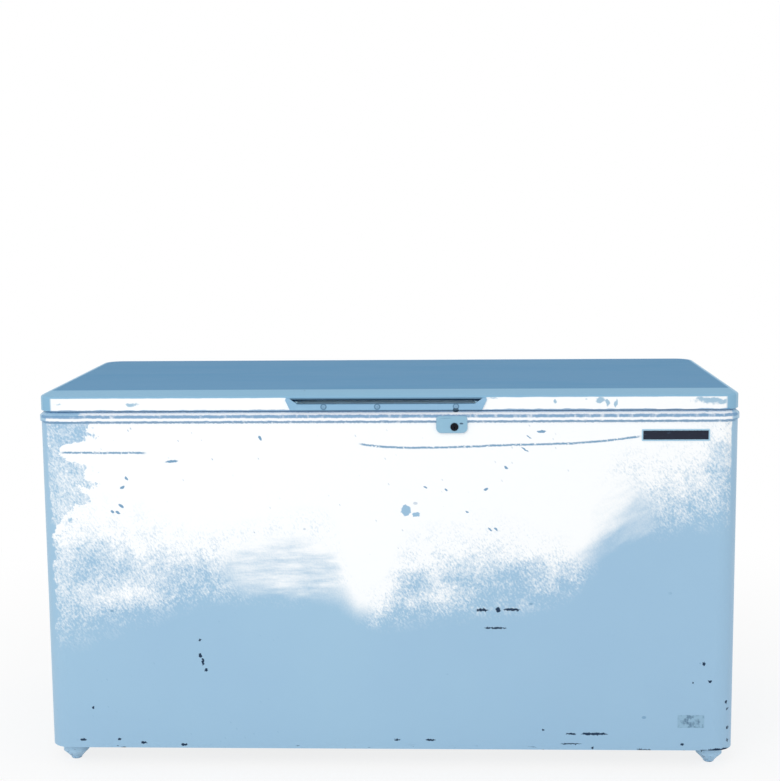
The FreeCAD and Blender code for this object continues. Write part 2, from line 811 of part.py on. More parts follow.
def thermostat_knob():
    y0 = body_back - outer_sheet + grille_sheet + knob_gap
    base = along_y(knob_base_radius, knob_x, knob_z, y0, y0 + knob_base_height)
    grip = along_y(knob_radius, knob_x, knob_z, y0, y0 + knob_height)
    grip = grip.makeFillet(knob_edge, edges_where(grip, lambda b: b.YMin > y0 + knob_height - fit))
    spindle = along_y(spindle_radius, knob_x, knob_z, body_back - outer_sheet - spindle_depth,
                      y0 + knob_base_height)
    pointer = block(knob_x - pointer_width / 2, knob_x + pointer_width / 2, y0 + knob_base_height,
                    y0 + knob_height + pointer_height, knob_z, knob_z + knob_radius)
    return base.fuse([grip, spindle, pointer])


def cord_inlet():
    y0 = body_back - outer_sheet + grille_sheet
    y1 = y0 + inlet_flange_height
    flange = along_y(inlet_flange_radius, inlet_x, inlet_z, y0, y1)
    flange = flange.makeFillet(inlet_flange_height / 2, edges_where(flange, lambda b: b.YMin > y0 + fit))
    neck = along_y(inlet_radius, inlet_x, inlet_z, y1 - inlet_length, y0 + inlet_flange_height / 2)
    bore = along_y(inlet_bore_radius, inlet_x, inlet_z, y1 - inlet_bore_depth, y1 + overrun)
    return flange.fuse(neck).cut(bore)


# Lid

def lid_volume(offset, low_z):
    inset = 2 * offset
    solid = slab(lid_width - inset, lid_depth - inset, lid_radius - offset, low_z, lid_top_z - offset)
    curve_radius = (front_fall_run ** 2 + front_fall ** 2) / (2 * front_fall)
    start_y = lid_front + front_fall_run
    centre_z = lid_top_z - curve_radius
    near_radius = curve_radius - offset

    def on_curve(run):
        angle = math.asin(run / near_radius)
        return Vector(-rim_width, start_y - run, centre_z + near_radius * math.cos(angle))

    first = on_curve(0)
    last = on_curve(front_fall_run + overrun)
    above = Vector(0, 0, overrun)
    edges = [
        Part.Arc(first, on_curve(front_fall_run / 2), last).toShape(),
        Part.makeLine(last, Vector(last.x, last.y, first.z) + above),
        Part.makeLine(Vector(last.x, last.y, first.z) + above, first + above),
        Part.makeLine(first + above, first),
    ]
    scoop = Part.Face(Part.Wire(edges)).extrude(Vector(2 * rim_width, 0, 0))
    solid = solid.cut(scoop)
    crown = [face for face in solid.Faces if face.CenterOfMass.z > lid_top_z - offset - front_fall]
    border = []
    for face in crown:
        border.extend(edge for edge in face.Edges
                      if not (edge.BoundBox.YLength < fit and abs(edge.BoundBox.Center.y - start_y) < fit))
    return solid.makeFillet(lid_edge_radius - offset, border)


def lid_skin():
    shell = lid_volume(0, lid_bottom_z).cut(lid_volume(lid_sheet, lid_bottom_z - overrun))
    inside = 2 * lid_sheet
    flange = slab(lid_width - inside, lid_depth - inside, lid_radius - lid_sheet, lid_bottom_z, panel_z)
    hole = slab(lid_width - 2 * lid_return, lid_depth - 2 * lid_return, lid_radius - lid_return,
                lid_bottom_z - overrun, panel_z + overrun)
    shell = shell.fuse(flange.cut(hole)).removeSplitter()
    half = slot_top_length / 2 + handle_wall + fit
    window = block(-half, half, lid_front - overrun, lid_front + overrun, slot_bottom_z - handle_wall - fit,
                   slot_top_z + fit)
    notch = catch_notch(lid_front - overrun, lid_front + overrun)
    holes = leaf_screw_holes(lid_back - overrun, lid_back + overrun)
    return shell.cut([window, striker_slot(), notch] + holes)


def catch_notch(y0, y1):
    x = lock_x + notch_shift
    cut = block(x - notch_width / 2, x + notch_width / 2, y0, y1, lid_bottom_z - overrun,
                lid_bottom_z + notch_height)
    return cut.makeFillet(notch_radius, edges_where(cut, lambda b: b.ZMin > lid_bottom_z and b.XLength < fit))


def striker_slot():
    return block(lock_x - striker_slot_left, lock_x + striker_slot_right,
                 hook_y - hook_room, hook_y + hook_thickness + hook_room, lid_bottom_z - overrun,
                 panel_z + striker_thickness + overrun)


def gasket_ring(width, low_z, high_z):
    middle = gasket_inset + gasket_width / 2
    outer = 2 * (middle - width / 2)
    inner = 2 * (middle + width / 2)
    corner = lid_radius
    ring = slab(lid_width - outer, lid_depth - outer, corner, low_z, high_z)
    return ring.cut(slab(lid_width - inner, lid_depth - inner, corner - width, low_z - overrun,
                         high_z + overrun))


def plug_volume(offset, high_z):
    clear = 2 * (plug_clearance + offset)
    width = mouth_width - clear
    depth = mouth_depth - clear
    radius = mouth_radius - offset
    draft = 2 * plug_draft
    low_z = land_z - plug_drop + offset
    cone = taper(outline(width - draft, depth - draft, radius - plug_draft, low_z),
                 outline(width, depth, radius, panel_z))
    return cone.fuse(slab(width, depth, radius, panel_z, high_z))


def lid_inner_panel():
    inset = 2 * panel_inset
    plate = slab(lid_width - inset, lid_depth - inset, lid_radius - lid_sheet, panel_z, panel_top_z)
    channel_top = panel_z + gasket_channel
    cover = gasket_ring(gasket_width + 2 * (fit + panel_sheet), panel_z, channel_top + panel_sheet)
    channel = gasket_ring(gasket_width + 2 * fit, panel_z - overrun, channel_top)
    solid = plate.fuse([plug_volume(0, panel_top_z), cover])
    return solid.cut([plug_volume(panel_sheet, panel_top_z + overrun), channel])


def lid_gasket():
    channel_top = panel_z + gasket_channel
    magnet_top = land_z + fit + gasket_magnet_height
    base = gasket_ring(gasket_width, channel_top - gasket_base_height, channel_top)
    neck = gasket_ring(gasket_neck, magnet_top, channel_top - gasket_base_height)
    magnet = gasket_ring(gasket_width, land_z + fit, magnet_top)
    return base.fuse([neck, magnet])


def lid_foam():
    solid = lid_volume(lid_sheet + fit, panel_top_z + fit)
    solid = solid.fuse(plug_volume(panel_sheet + fit, panel_top_z + fit))
    cover = gasket_ring(gasket_width + 2 * (2 * fit + panel_sheet), panel_z,
                        panel_z + gasket_channel + panel_sheet + fit)
    half = slot_top_length / 2 + handle_wall + fit
    grip = block(-half, half, lid_front - overrun, lid_front + grip_depth + handle_wall + fit,
                 slot_bottom_z - handle_wall - fit, grip_top_z + handle_wall + fit)
    hook = block(lock_x - striker_left - fit, lock_x + striker_right + fit, lid_front - overrun,
                 lid_front + lid_return, lid_bottom_z, slot_bottom_z)
    return solid.cut([cover, grip, hook])


def lid_handle():
    top = handle_top_length / 2
    bottom = handle_bottom_length / 2
    front = lid_front - handle_projection
    face = profile([(-bottom, front, handle_bottom_z), (bottom, front, handle_bottom_z),
                    (top, front, handle_top_z), (-top, front, handle_top_z)], (0, handle_projection, 0))
    face = face.makeFillet(handle_corner_radius, edges_where(face, lambda b: b.XLength + b.ZLength < fit))
    half = slot_top_length / 2 + handle_wall
    low = slot_bottom_z - handle_wall
    deep = lid_front + grip_depth
    lip = lid_front + grip_lip
    high = grip_top_z + handle_wall
    back = deep + handle_wall
    tray = profile([(-half, lid_front, low), (-half, lid_front, slot_top_z), (-half, lip, slot_top_z),
                    (-half, lip, high), (-half, back, high), (-half, back, low)], (2 * half, 0, 0))
    slot_top = slot_top_length / 2
    slot_bottom = slot_bottom_length / 2
    inner = lip + handle_wall
    near = front - overrun
    mouth_top = slot_top_z - grip_lip_sheet
    mouth = profile([(-slot_bottom, near, slot_bottom_z), (slot_bottom, near, slot_bottom_z),
                     (slot_top, near, mouth_top), (-slot_top, near, mouth_top)], (0, inner - near, 0))
    floor_z = slot_bottom_z + grip_floor_slope
    hollow = profile([(-slot_bottom, inner, slot_bottom_z), (-slot_bottom, inner, grip_top_z),
                      (-slot_bottom, deep, grip_top_z), (-slot_bottom, deep, floor_z)],
                     (2 * slot_bottom, 0, 0))
    notch = catch_notch(front - overrun, lid_front)
    holes = [along_y(screw_radius + fit, x, z, front - overrun, lid_front + overrun)
             for x, z in handle_screw_places()]
    return face.fuse(tray).cut([mouth, hollow, notch] + holes)


def handle_screw_places():
    z = lid_bottom_z + handle_screw_rise
    return [(share * handle_bottom_length / 2, z) for share in handle_screw_shares]


def handle_screws():
    y = lid_front - handle_projection
    return Part.makeCompound([screw(x, y, z, -1, handle_projection, screw_radius, handle_screw_head_radius,
                                    screw_head_height) for x, z in handle_screw_places()])


# Lock

def lock_escutcheon():
    middle_x = lock_x - lock_plate_shift
    middle_z = lock_z + lock_plate_rise
    front = body_front - lock_plate_thickness
    plate = block(middle_x - lock_plate_width / 2, middle_x + lock_plate_width / 2, front, body_front,
                  middle_z - lock_plate_height / 2, middle_z + lock_plate_height / 2)
    upper = edges_where(plate, lambda b: b.XLength + b.ZLength < fit and b.ZMin > middle_z)
    plate = plate.makeFillet(lock_plate_top_radius, upper)
    lower = edges_where(plate, lambda b: b.XLength + b.ZLength < fit and b.ZMin < middle_z)
    plate = plate.makeFillet(lock_plate_bottom_radius, lower)
    plate = plate.makeFillet(lock_plate_edge, edges_where(plate, lambda b: b.YMax < front + fit))
    band = block(middle_x - lock_plate_width, middle_x + lock_plate_width, body_front - rim_projection - fit,
                 body_front + overrun, rim_bottom_z - fit, land_z)
    bore = along_y(boss_radius + fit, lock_x, lock_z, front + key_projection, body_front + overrun)
    eye = along_y(key_radius + fit, lock_x, lock_z, front - overrun, body_front)
    return plate.cut([band, bore, eye])


def case_block(room, high_z):
    y0 = body_front + outer_sheet
    return block(lock_x - case_left - room, lock_x + case_right + room, y0 - room, y0 + case_depth + room,
                 lock_z - case_below - room, high_z)


def lock_case():
    high_z = wrapper_top_z - fit
    outer = case_block(0, high_z)
    inner = case_block(-case_wall, high_z + overrun)
    front = body_front - lock_plate_thickness + key_projection + fit
    boss = along_y(boss_radius, lock_x, lock_z, front, body_front + outer_sheet + case_wall)
    bore = along_y(key_radius + key_clearance, lock_x, lock_z, front - overrun, hook_y)
    return outer.cut(inner).fuse(boss).cut(bore)


def lock_key_barrel():
    front = body_front - lock_plate_thickness - key_projection
    body = along_y(key_radius, lock_x, lock_z, front, hook_y)
    shank = along_y(shank_radius, lock_x, lock_z, hook_y, hook_y + hook_thickness + nut_height)
    slot = block(lock_x - key_slot_width / 2, lock_x + key_slot_width / 2, front - overrun,
                 front + key_slot_depth, lock_z - key_slot_length / 2, lock_z + key_slot_length / 2)
    return body.fuse(shank).cut(slot)


def lock_hook():
    half = hook_width / 2
    left = lock_x - hook_length
    y0 = hook_y
    inner = left + hook_nose_width
    tip_z = lock_z + hook_nose_length
    arm = profile([(lock_x, y0, lock_z - half), (left, y0, lock_z - half), (left, y0, tip_z),
                   (inner, y0, tip_z), (inner, y0, lock_z + half), (lock_x, y0, lock_z + half)],
                  (0, hook_thickness, 0))
    eye = along_y(half, lock_x, lock_z, y0, y0 + hook_thickness)
    hole = along_y(shank_radius, lock_x, lock_z, y0 - overrun, y0 + hook_thickness + overrun)
    return arm.fuse(eye).cut(hole)


def lock_nut():
    y0 = hook_y + hook_thickness
    corners = []
    for corner in range(6):
        angle = math.pi / 3 * corner
        corners.append((lock_x + nut_radius * math.cos(angle), y0, lock_z + nut_radius * math.sin(angle)))
    hexagon = profile(corners, (0, nut_height, 0))
    return hexagon.cut(along_y(shank_radius, lock_x, lock_z, y0 - overrun, y0 + nut_height + overrun))


def lock_striker():
    y0 = lid_front + lid_sheet + striker_setback
    plate = block(lock_x - striker_left, lock_x + striker_right, y0, y0 + striker_depth, panel_z,
                  panel_z + striker_thickness)
    return plate.cut(striker_slot())


# Hinges

def bracket_screw_places(x):
    reach = ear_reach + ear_thickness + bracket_flange / 2
    return [(x + side * reach, z) for side in (-1, 1)
            for z in (bracket_high - bracket_screw_margin, bracket_low + bracket_screw_margin)]


def bracket_screw_holes(y0, y1):
    return [along_y(hinge_screw_radius + fit, x, z, y0, y1)
            for side in (-1, 1) for x, z in bracket_screw_places(side * hinge_x)]


def hinge_bracket(x):
    y0 = body_back - outer_sheet
    y1 = y0 + bracket_sheet
    reach = ear_reach + ear_thickness
    plate = block(x - reach - bracket_flange, x + reach + bracket_flange, y0, y1, bracket_low, bracket_high)
    middle_z = bracket_high - bracket_height / 2
    solids = []
    for left in (x - reach, x + ear_reach):
        ear = profile([(left, y0, bracket_low), (left, y1 + ear_radius, bracket_low),
                       (left, ear_far, middle_z), (left, ear_far, pin_z), (left, plunger_front, pin_z),
                       (left, plunger_front, bracket_high), (left, y0, bracket_high)], (ear_thickness, 0, 0))
        crown = along_x(ear_radius, pin_y, pin_z, left, left + ear_thickness)
        solids.append(ear.fuse(crown))
    solids.append(block(x - ear_reach, x + ear_reach, y0, ear_far, seat_z - seat_sheet, seat_z))
    peg_radius = spring_radius - wire_radius - spring_room
    solids.append(upright(peg_radius, x, spring_y, seat_z, seat_z + seat_peg_height))
    solid = plate.fuse(solids)
    bore = along_x(pin_radius, pin_y, pin_z, x - reach - overrun, x + reach + overrun)
    holes = [along_y(hinge_screw_radius + fit, hole_x, hole_z, y0 - overrun, y1 + overrun)
             for hole_x, hole_z in bracket_screw_places(x)]
    return solid.cut([bore] + holes)


def hinge_pin(x):
    reach = ear_reach + ear_thickness
    pin = along_x(pin_radius, pin_y, pin_z, x - reach, x + reach)
    heads = [along_x(pin_head_radius, pin_y, pin_z, x + reach, x + reach + pin_head_height),
             along_x(pin_head_radius, pin_y, pin_z, x - reach - pin_head_height, x - reach)]
    return pin.fuse(heads)


def leaf_screw_places(x):
    z = lid_bottom_z + leaf_rise + leaf_height / 2
    reach = leaf_length / 2 - leaf_screw_margin
    return [(x - reach, z), (x + reach, z)]


def leaf_screw_holes(y0, y1):
    return [along_y(hinge_screw_radius + fit, x, z, y0, y1)
            for side in (-1, 1) for x, z in leaf_screw_places(side * hinge_x)]


def hinge_leaf(x):
    low = lid_bottom_z + leaf_rise
    plate = block(x - leaf_length / 2, x + leaf_length / 2, lid_back, lid_back + leaf_sheet, low,
                  low + leaf_height)
    plate = plate.makeFillet(leaf_rise, edges_where(plate, lambda b: b.XLength + b.ZLength < fit))
    left = x - knuckle_length / 2
    web = profile([(left, lid_back, low), (left, lid_back, low + leaf_height / 2),
                   (left, pin_y + knuckle_radius, pin_z), (left, pin_y, pin_z - knuckle_radius),
                   (left, pin_y - knuckle_radius, pin_z)], (knuckle_length, 0, 0))
    knuckle = along_x(knuckle_radius, pin_y, pin_z, left, left + knuckle_length)
    bore = along_x(pin_radius + pin_clearance, pin_y, pin_z, left - overrun, left + knuckle_length + overrun)
    holes = [along_y(hinge_screw_radius + fit, hole_x, hole_z, lid_back - overrun,
                     lid_back + leaf_sheet + overrun) for hole_x, hole_z in leaf_screw_places(x)]
    return plate.fuse([web, knuckle, cam_lobe(x)]).cut([bore] + holes)


def cam_lobe(x):
    left = x - cam_width / 2
    points = []
    for station in range(cam_stations + 1):
        turn = math.radians(lid_travel) * station / cam_stations
        reach = cam_reach - cam_rate * turn
        y = reach * math.sin(turn) - cam_rate * math.cos(turn)
        z = -reach * math.cos(turn) - cam_rate * math.sin(turn)
        points.append(Vector(left, pin_y + y, pin_z + z))
    face = Part.BSplineCurve()
    face.interpolate(points)
    pivot = Vector(left, pin_y, pin_z)
    flank = Vector(left, pin_y - knuckle_radius, pin_z)
    edges = [face.toShape(), Part.makeLine(points[-1], pivot), Part.makeLine(pivot, flank),
             Part.makeLine(flank, points[0])]
    return Part.Face(Part.Wire(edges)).extrude(Vector(cam_width, 0, 0))


def hinge_plunger(x):
    half = ear_reach - plunger_gap
    low = plunger_top_z - plunger_height
    body = block(x - half, x + half, plunger_front, plunger_back, low, plunger_top_z)
    body = round_upright_edges(body, plunger_edge)
    bore = upright(spring_radius + wire_radius + spring_room, x, spring_y, low - overrun,
                   plunger_top_z - plunger_crown)
    return body.cut(bore)


def arc_leaving(start, way, end):
    chord = end - start
    along = Vector(chord).normalize()
    aside = (way - along * way.dot(along)).normalize()
    bulge = chord.Length / 2 * math.tan(way.getAngle(along) / 2)
    return Part.Arc(start, (start + end) / 2 + aside * bulge, end).toShape()


def biarc(start, leaving, end, arriving):
    chord = end - start
    bend = 2 * (leaving.dot(arriving) - 1)
    pull = 2 * chord.dot(leaving + arriving)
    reach = (pull - math.sqrt(pull ** 2 - 4 * bend * chord.dot(chord))) / (2 * bend)
    first = start + leaving * reach
    last = end - arriving * reach
    middle = (first + last) / 2
    return [arc_leaving(start, leaving, middle), arc_leaving(middle, (last - first).normalize(), end)]


def hinge_spring(x):
    low = seat_z + spring_end_gap + wire_radius
    high = plunger_top_z - plunger_crown - spring_end_gap - wire_radius
    closed = 2 * wire_radius + closed_turn_gap
    open_turns = spring_turns - 2
    pitch = (high - low - 2 * closed) / open_turns
    rises = [closed / 4] * 4 + [pitch / 4] * (4 * open_turns) + [closed / 4] * 4
    places = []
    ways = []
    z = low
    for quarter, (before, after) in enumerate(zip(rises[:1] + rises, rises + rises[-1:])):
        angle = math.pi / 2 * quarter
        spoke = Vector(math.cos(angle), math.sin(angle), 0) * spring_radius
        places.append(Vector(x, spring_y, z) + spoke)
        way = Vector(-spoke.y, spoke.x, 0) * (math.pi / 2) + Vector(0, 0, (before + after) / 2)
        ways.append(way.normalize())
        z += after
    edges = []
    for number in range(len(rises)):
        edges.extend(biarc(places[number], ways[number], places[number + 1], ways[number + 1]))
    path = Part.Wire(edges)
    samples = path.discretize(Number=spring_turns * turn_samples)
    half_turn = turn_samples // 2
    apart = min(this.distanceToPoint(other) for number, this in enumerate(samples)
                for other in samples[number + half_turn:])
    print("spring turns stand clear by", round(apart - 2 * wire_radius, 2), "mm")
    section = Part.Wire(Part.makeCircle(wire_radius, places[0], ways[0]))
    return path.makePipeShell([section], True, False)


def hinge_screws(places, y, grip):
    return Part.makeCompound([screw(x, y, z, 1, grip, hinge_screw_radius, hinge_screw_head_radius,
                                    hinge_screw_head_height) for x, z in places])


def bracket_screws():
    places = bracket_screw_places(-hinge_x) + bracket_screw_places(hinge_x)
    return hinge_screws(places, body_back - outer_sheet + bracket_sheet, bracket_sheet + outer_sheet)


def leaf_screws():
    places = leaf_screw_places(-hinge_x) + leaf_screw_places(hinge_x)
    return hinge_screws(places, lid_back + leaf_sheet, leaf_sheet + lid_sheet)


pieces = {
    "cabinet_wrapper": cabinet_wrapper(),
    "back_panel": back_panel(),
    "base_pan": base_pan(),
    "foot_front_left": foot(-1, -1),
    "foot_front_right": foot(1, -1),
    "foot_rear_left": foot(-1, 1),
    "foot_rear_right": foot(1, 1),
    "inner_liner": inner_liner(),
    "foam_body": foam_body(),
    "top_collar": top_collar(),
    "bay_panel": bay_panel(),
    "evaporator_coil": evaporator_coil(),
    "condenser_coil": condenser_coil(),
    "compressor": compressor(),
    "compressor_grommets": compressor_grommets(),
    "compressor_studs": compressor_studs(),
    "start_relay_box": start_relay_box(),
    "discharge_pipe": discharge_pipe(),
    "suction_pipe": suction_pipe(),
    "drier_feed_pipe": drier_feed(),
    "filter_drier": filter_drier(),
    "capillary_tube": capillary_tube(),
    "rear_grille": rear_grille(),
    "grille_screws": grille_screws(),
    "thermostat": thermostat(),
    "thermostat_knob": thermostat_knob(),
    "cord_inlet": cord_inlet(),
    "lid_skin": lid_skin(),
    "lid_inner_panel": lid_inner_panel(),
    "lid_gasket": lid_gasket(),
    "lid_foam": lid_foam(),
    "lid_handle": lid_handle(),
    "handle_screws": handle_screws(),
    "lock_escutcheon": lock_escutcheon(),
    "lock_case": lock_case(),
    "lock_key_barrel": lock_key_barrel(),
    "lock_hook": lock_hook(),
    "lock_nut": lock_nut(),
    "lock_striker": lock_striker(),
    "hinge_bracket_left": hinge_bracket(-hinge_x),
    "hinge_bracket_right": hinge_bracket(hinge_x),
    "hinge_pin_left": hinge_pin(-hinge_x),
    "hinge_pin_right": hinge_pin(hinge_x),
    "hinge_leaf_left": hinge_leaf(-hinge_x),
    "hinge_leaf_right": hinge_leaf(hinge_x),
    "hinge_plunger_left": hinge_plunger(-hinge_x),
    "hinge_plunger_right": hinge_plunger(hinge_x),
    "hinge_spring_left": hinge_spring(-hinge_x),
    "hinge_spring_right": hinge_spring(hinge_x),
    "bracket_screws": bracket_screws(),
    "leaf_screws": leaf_screws(),
}

for name, shape in pieces.items():
    shape.exportStep("parts/" + name + ".step")
    print(name, "solids", len(shape.Solids), "valid", shape.isValid(), "volume", round(shape.Volume))
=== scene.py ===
import math
from functools import partialmethod
import bmesh
import bpy
from mathutils import Matrix, Vector


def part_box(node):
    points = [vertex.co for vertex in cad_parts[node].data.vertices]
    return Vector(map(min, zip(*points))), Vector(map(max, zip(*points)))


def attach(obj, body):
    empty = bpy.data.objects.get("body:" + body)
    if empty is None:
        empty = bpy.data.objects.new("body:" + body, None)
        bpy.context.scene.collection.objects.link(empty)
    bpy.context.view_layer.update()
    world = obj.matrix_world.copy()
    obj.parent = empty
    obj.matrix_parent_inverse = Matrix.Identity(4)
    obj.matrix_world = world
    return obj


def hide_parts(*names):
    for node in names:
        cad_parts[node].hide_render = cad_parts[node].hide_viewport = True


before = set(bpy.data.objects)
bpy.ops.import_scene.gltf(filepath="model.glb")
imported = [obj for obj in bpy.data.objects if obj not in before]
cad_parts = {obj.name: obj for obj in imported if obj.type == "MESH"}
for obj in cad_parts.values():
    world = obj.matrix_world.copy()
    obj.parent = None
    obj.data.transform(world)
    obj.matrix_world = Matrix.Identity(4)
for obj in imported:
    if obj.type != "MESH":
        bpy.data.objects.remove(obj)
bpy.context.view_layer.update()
scene = bpy.context.scene
print("frame loaded:", len(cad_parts), "nodes")


def tint(*levels):  # a screen colour, 0 to 255, as linear light
    shares = [level / 255 for level in levels]
    return tuple(s / 12.92 if s <= 0.04045 else ((s + 0.055) / 1.055) ** 2.4 for s in shares) + (1.0,)


def darkened(colour, share):
    return tuple(level * share for level in colour[:3]) + (1.0,)


class Field:  # a socket that takes part in plain arithmetic
    def __init__(self, graph, socket):
        self.graph = graph
        self.socket = socket

    def other(self, output):  # another output of the same node
        return Field(self.graph, self.socket.node.outputs[output])

    def combined(self, operation, *values):
        return self.graph.calc(operation, self, *values)

    __add__ = partialmethod(combined, "ADD")
    __sub__ = partialmethod(combined, "SUBTRACT")
    __mul__ = partialmethod(combined, "MULTIPLY")
    __truediv__ = partialmethod(combined, "DIVIDE")
    __lt__ = partialmethod(combined, "LESS_THAN")
    __abs__ = partialmethod(combined, "ABSOLUTE")
    root = partialmethod(combined, "SQRT")
    most = partialmethod(combined, "MAXIMUM")
    least = partialmethod(combined, "MINIMUM")

    def __radd__(self, value):
        return self.graph.calc("ADD", value, self)

    def __rsub__(self, value):
        return self.graph.calc("SUBTRACT", value, self)

    def ease(self, start, end, low, high, origin=0.0):  # low and high count from the origin
        return self.graph.node("ShaderNodeMapRange", {"interpolation_type": "SMOOTHSTEP"}, {
            "Value": self, "From Min": origin + low, "From Max": origin + high,
            "To Min": start, "To Max": end})

    rise = partialmethod(ease, 0.0, 1.0)  # 0 up to low, 1 from high on
    fall = partialmethod(ease, 1.0, 0.0)  # 1 up to low, 0 from high on

    def span(self, low, high, soft):  # 1 between low and high
        return self.rise(-soft, soft, low) * self.fall(-soft, soft, high)

    def line(self, middle, width):  # 1 on a line of that width, with soft sides
        return abs(self - middle).fall(width * 0.25, width * 0.6)


class Graph:  # a node tree whose sockets are fields
    def __init__(self, tree):
        self.tree = tree
        tree.nodes.clear()

    def node(self, kind, settings=None, sockets=None, output=0):
        made = self.tree.nodes.new(kind)
        for key, value in (settings or {}).items():
            setattr(made, key, value)
        for key, value in (sockets or {}).items():
            for one in value if isinstance(value, list) else [value]:
                if isinstance(one, Field):
                    self.tree.links.new(one.socket, made.inputs[key])
                else:
                    made.inputs[key].default_value = one
        return Field(self, made.outputs[output]) if len(made.outputs) else None

    def vector(self, x, y, z):
        return self.node("ShaderNodeCombineXYZ", sockets={0: x, 1: y, 2: z})

    def seen(self):  # 1 for what the camera, a reflection or a glass sees
        camera = self.node("ShaderNodeLightPath", output="Is Camera Ray")
        return camera.most(camera.other("Is Glossy Ray")).most(camera.other("Is Transmission Ray"))

    def calc(self, operation, *values):
        return self.node("ShaderNodeMath", {"operation": operation}, dict(enumerate(values)))


class Finish(Graph):  # one material
    def __init__(self, name):
        self.material = bpy.data.materials.new(name)
        self.material.use_nodes = True
        super().__init__(self.material.node_tree)
        self.place = self.node("ShaderNodeTexCoord", output="Object")
        self.x = self.node("ShaderNodeSeparateXYZ", sockets={0: self.place}, output="X")
        self.y, self.z = self.x.other("Y"), self.x.other("Z")

    def blend(self, share, under, over):  # a mix node's colours are its inputs 6 and 7 and its output 2
        return self.node("ShaderNodeMix", {"data_type": "RGBA"}, {0: share, 6: under, 7: over}, 2)

    def layers(self, colour, *coats):  # coats are (share, colour), each over the one before
        for share, over in coats:
            colour = self.blend(share, colour, over)
        return colour

    def mapped(self, place, stretch=(1, 1, 1), shift=(0, 0, 0), turn=0.0):  # turned about y after the stretch
        return self.node("ShaderNodeMapping", sockets={
            "Vector": place, "Location": shift, "Rotation": (0, turn, 0), "Scale": stretch})

    def moved(self, slant=0.0, **move):  # slanted about y before the stretch
        place = self.mapped(self.place, turn=slant) if slant else self.place
        return self.mapped(place, **move)

    def noise(self, scale, detail=3.0, rough=0.55, **move):
        return self.node("ShaderNodeTexNoise", sockets={
            "Vector": self.moved(**move), "Scale": scale, "Detail": detail, "Roughness": rough})

    def ripple(self, *given, **move):  # a noise about zero
        return self.noise(*given, **move) - 0.5

    def patches(self, low, high, *given, **move):  # a noise cut into soft patches: 0 under low, 1 over high
        return self.noise(*given, **move).rise(low, high)

    def shaken(self, scale, reach):  # the place, pushed about by a fine noise
        push = self.node("ShaderNodeTexNoise", sockets={
            "Vector": self.place, "Scale": scale, "Detail": 2.0}, output="Color")
        centred = self.node("ShaderNodeVectorMath", {"operation": "SUBTRACT"}, {0: push, 1: (0.5, 0.5, 0.5)})
        return self.node("ShaderNodeVectorMath", {"operation": "MULTIPLY_ADD"},
                         {0: centred, 1: (reach, reach, reach), 2: self.place})

    def spot(self, x, z, reachX, reachZ, turn=0.0, place=None):  # 1 in the middle, 0 at an ellipse's rim
        farY = 100.0  # the depth doesn't count
        where = self.node("ShaderNodeMapping", {"vector_type": "TEXTURE"}, {
            "Vector": place or self.place, "Location": (x, 0, z), "Rotation": (0, turn, 0),
            "Scale": (reachX, farY, reachZ)})
        return self.node("ShaderNodeTexGradient", {"gradient_type": "SPHERICAL"}, {"Vector": where}, "Fac")

    def spots(self, places, place=None):  # the highest of several ellipses, some with a weight at the end
        total = None
        for x, z, reachX, reachZ, *weight in places:
            one = self.spot(x, z, reachX, reachZ, place=place)
            one = one * weight[0] if weight else one
            total = total.most(one) if total else one
        return total

    def flecks(self, scale, size, share, **move):  # small marks in some cells of a scatter
        cells = self.node("ShaderNodeTexVoronoi", sockets={
            "Vector": self.moved(**move), "Scale": scale}, output="Distance")
        picked = self.node("ShaderNodeSeparateColor", sockets={0: cells.other("Color")})
        return cells.fall(size * 0.6, size) * (picked < share)

    def along(self, value, low, high, points, top):  # a smooth curve through points (place, height)
        reach = high - low
        height = self.node("ShaderNodeFloatCurve", sockets={"Value": (value - low) / reach}, output="Value")
        mapping = height.socket.node.mapping
        curve = mapping.curves[0]
        while len(curve.points) < len(points):
            curve.points.new(1.0, 1.0)
        for point, (at, up) in zip(curve.points, points):
            point.location = ((at - low) / reach, up / top)
        mapping.update()
        return height * top

    def done(self, colour, roughness, height, relief=0.0003, metallic=0.0, specular=0.5):
        bump = self.node("ShaderNodeBump", sockets={"Distance": relief, "Height": height})
        shader = self.node("ShaderNodeBsdfPrincipled", sockets={
            "Base Color": colour, "Roughness": roughness, "Metallic": metallic, "Normal": bump,
            "Specular IOR Level": specular})
        self.node("ShaderNodeOutputMaterial", sockets={"Surface": shader})
        return self.material


def solidBoxes(name):  # the box of each separate solid of a node
    shape = bmesh.new()
    shape.from_mesh(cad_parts[name].data)
    bmesh.ops.remove_doubles(shape, verts=shape.verts, dist=1e-6)
    left = set(shape.verts)
    boxes = []
    while left:
        group, queue = [], [left.pop()]
        while queue:
            vert = queue.pop()
            group.append(vert.co.copy())
            for edge in vert.link_edges:
                far = edge.other_vert(vert)
                if far in left:
                    left.remove(far)
                    queue.append(far)
        boxes.append(tuple(Vector(map(end, zip(*group))) for end in (min, max)))
    shape.free()
    return sorted(boxes, key=lambda box: tuple(box[0]))


skinLow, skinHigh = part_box("cabinet_wrapper")
lidLow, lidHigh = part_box("lid_skin")
rimLow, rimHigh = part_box("top_collar")

paleBlue = tint(157, 193, 220)
# painted highlight: the white where light glares off the front faces
highlightWhite = tint(252, 254, 255)
edgeBlue = tint(163, 199, 222)
chipNavy = tint(20, 48, 76)
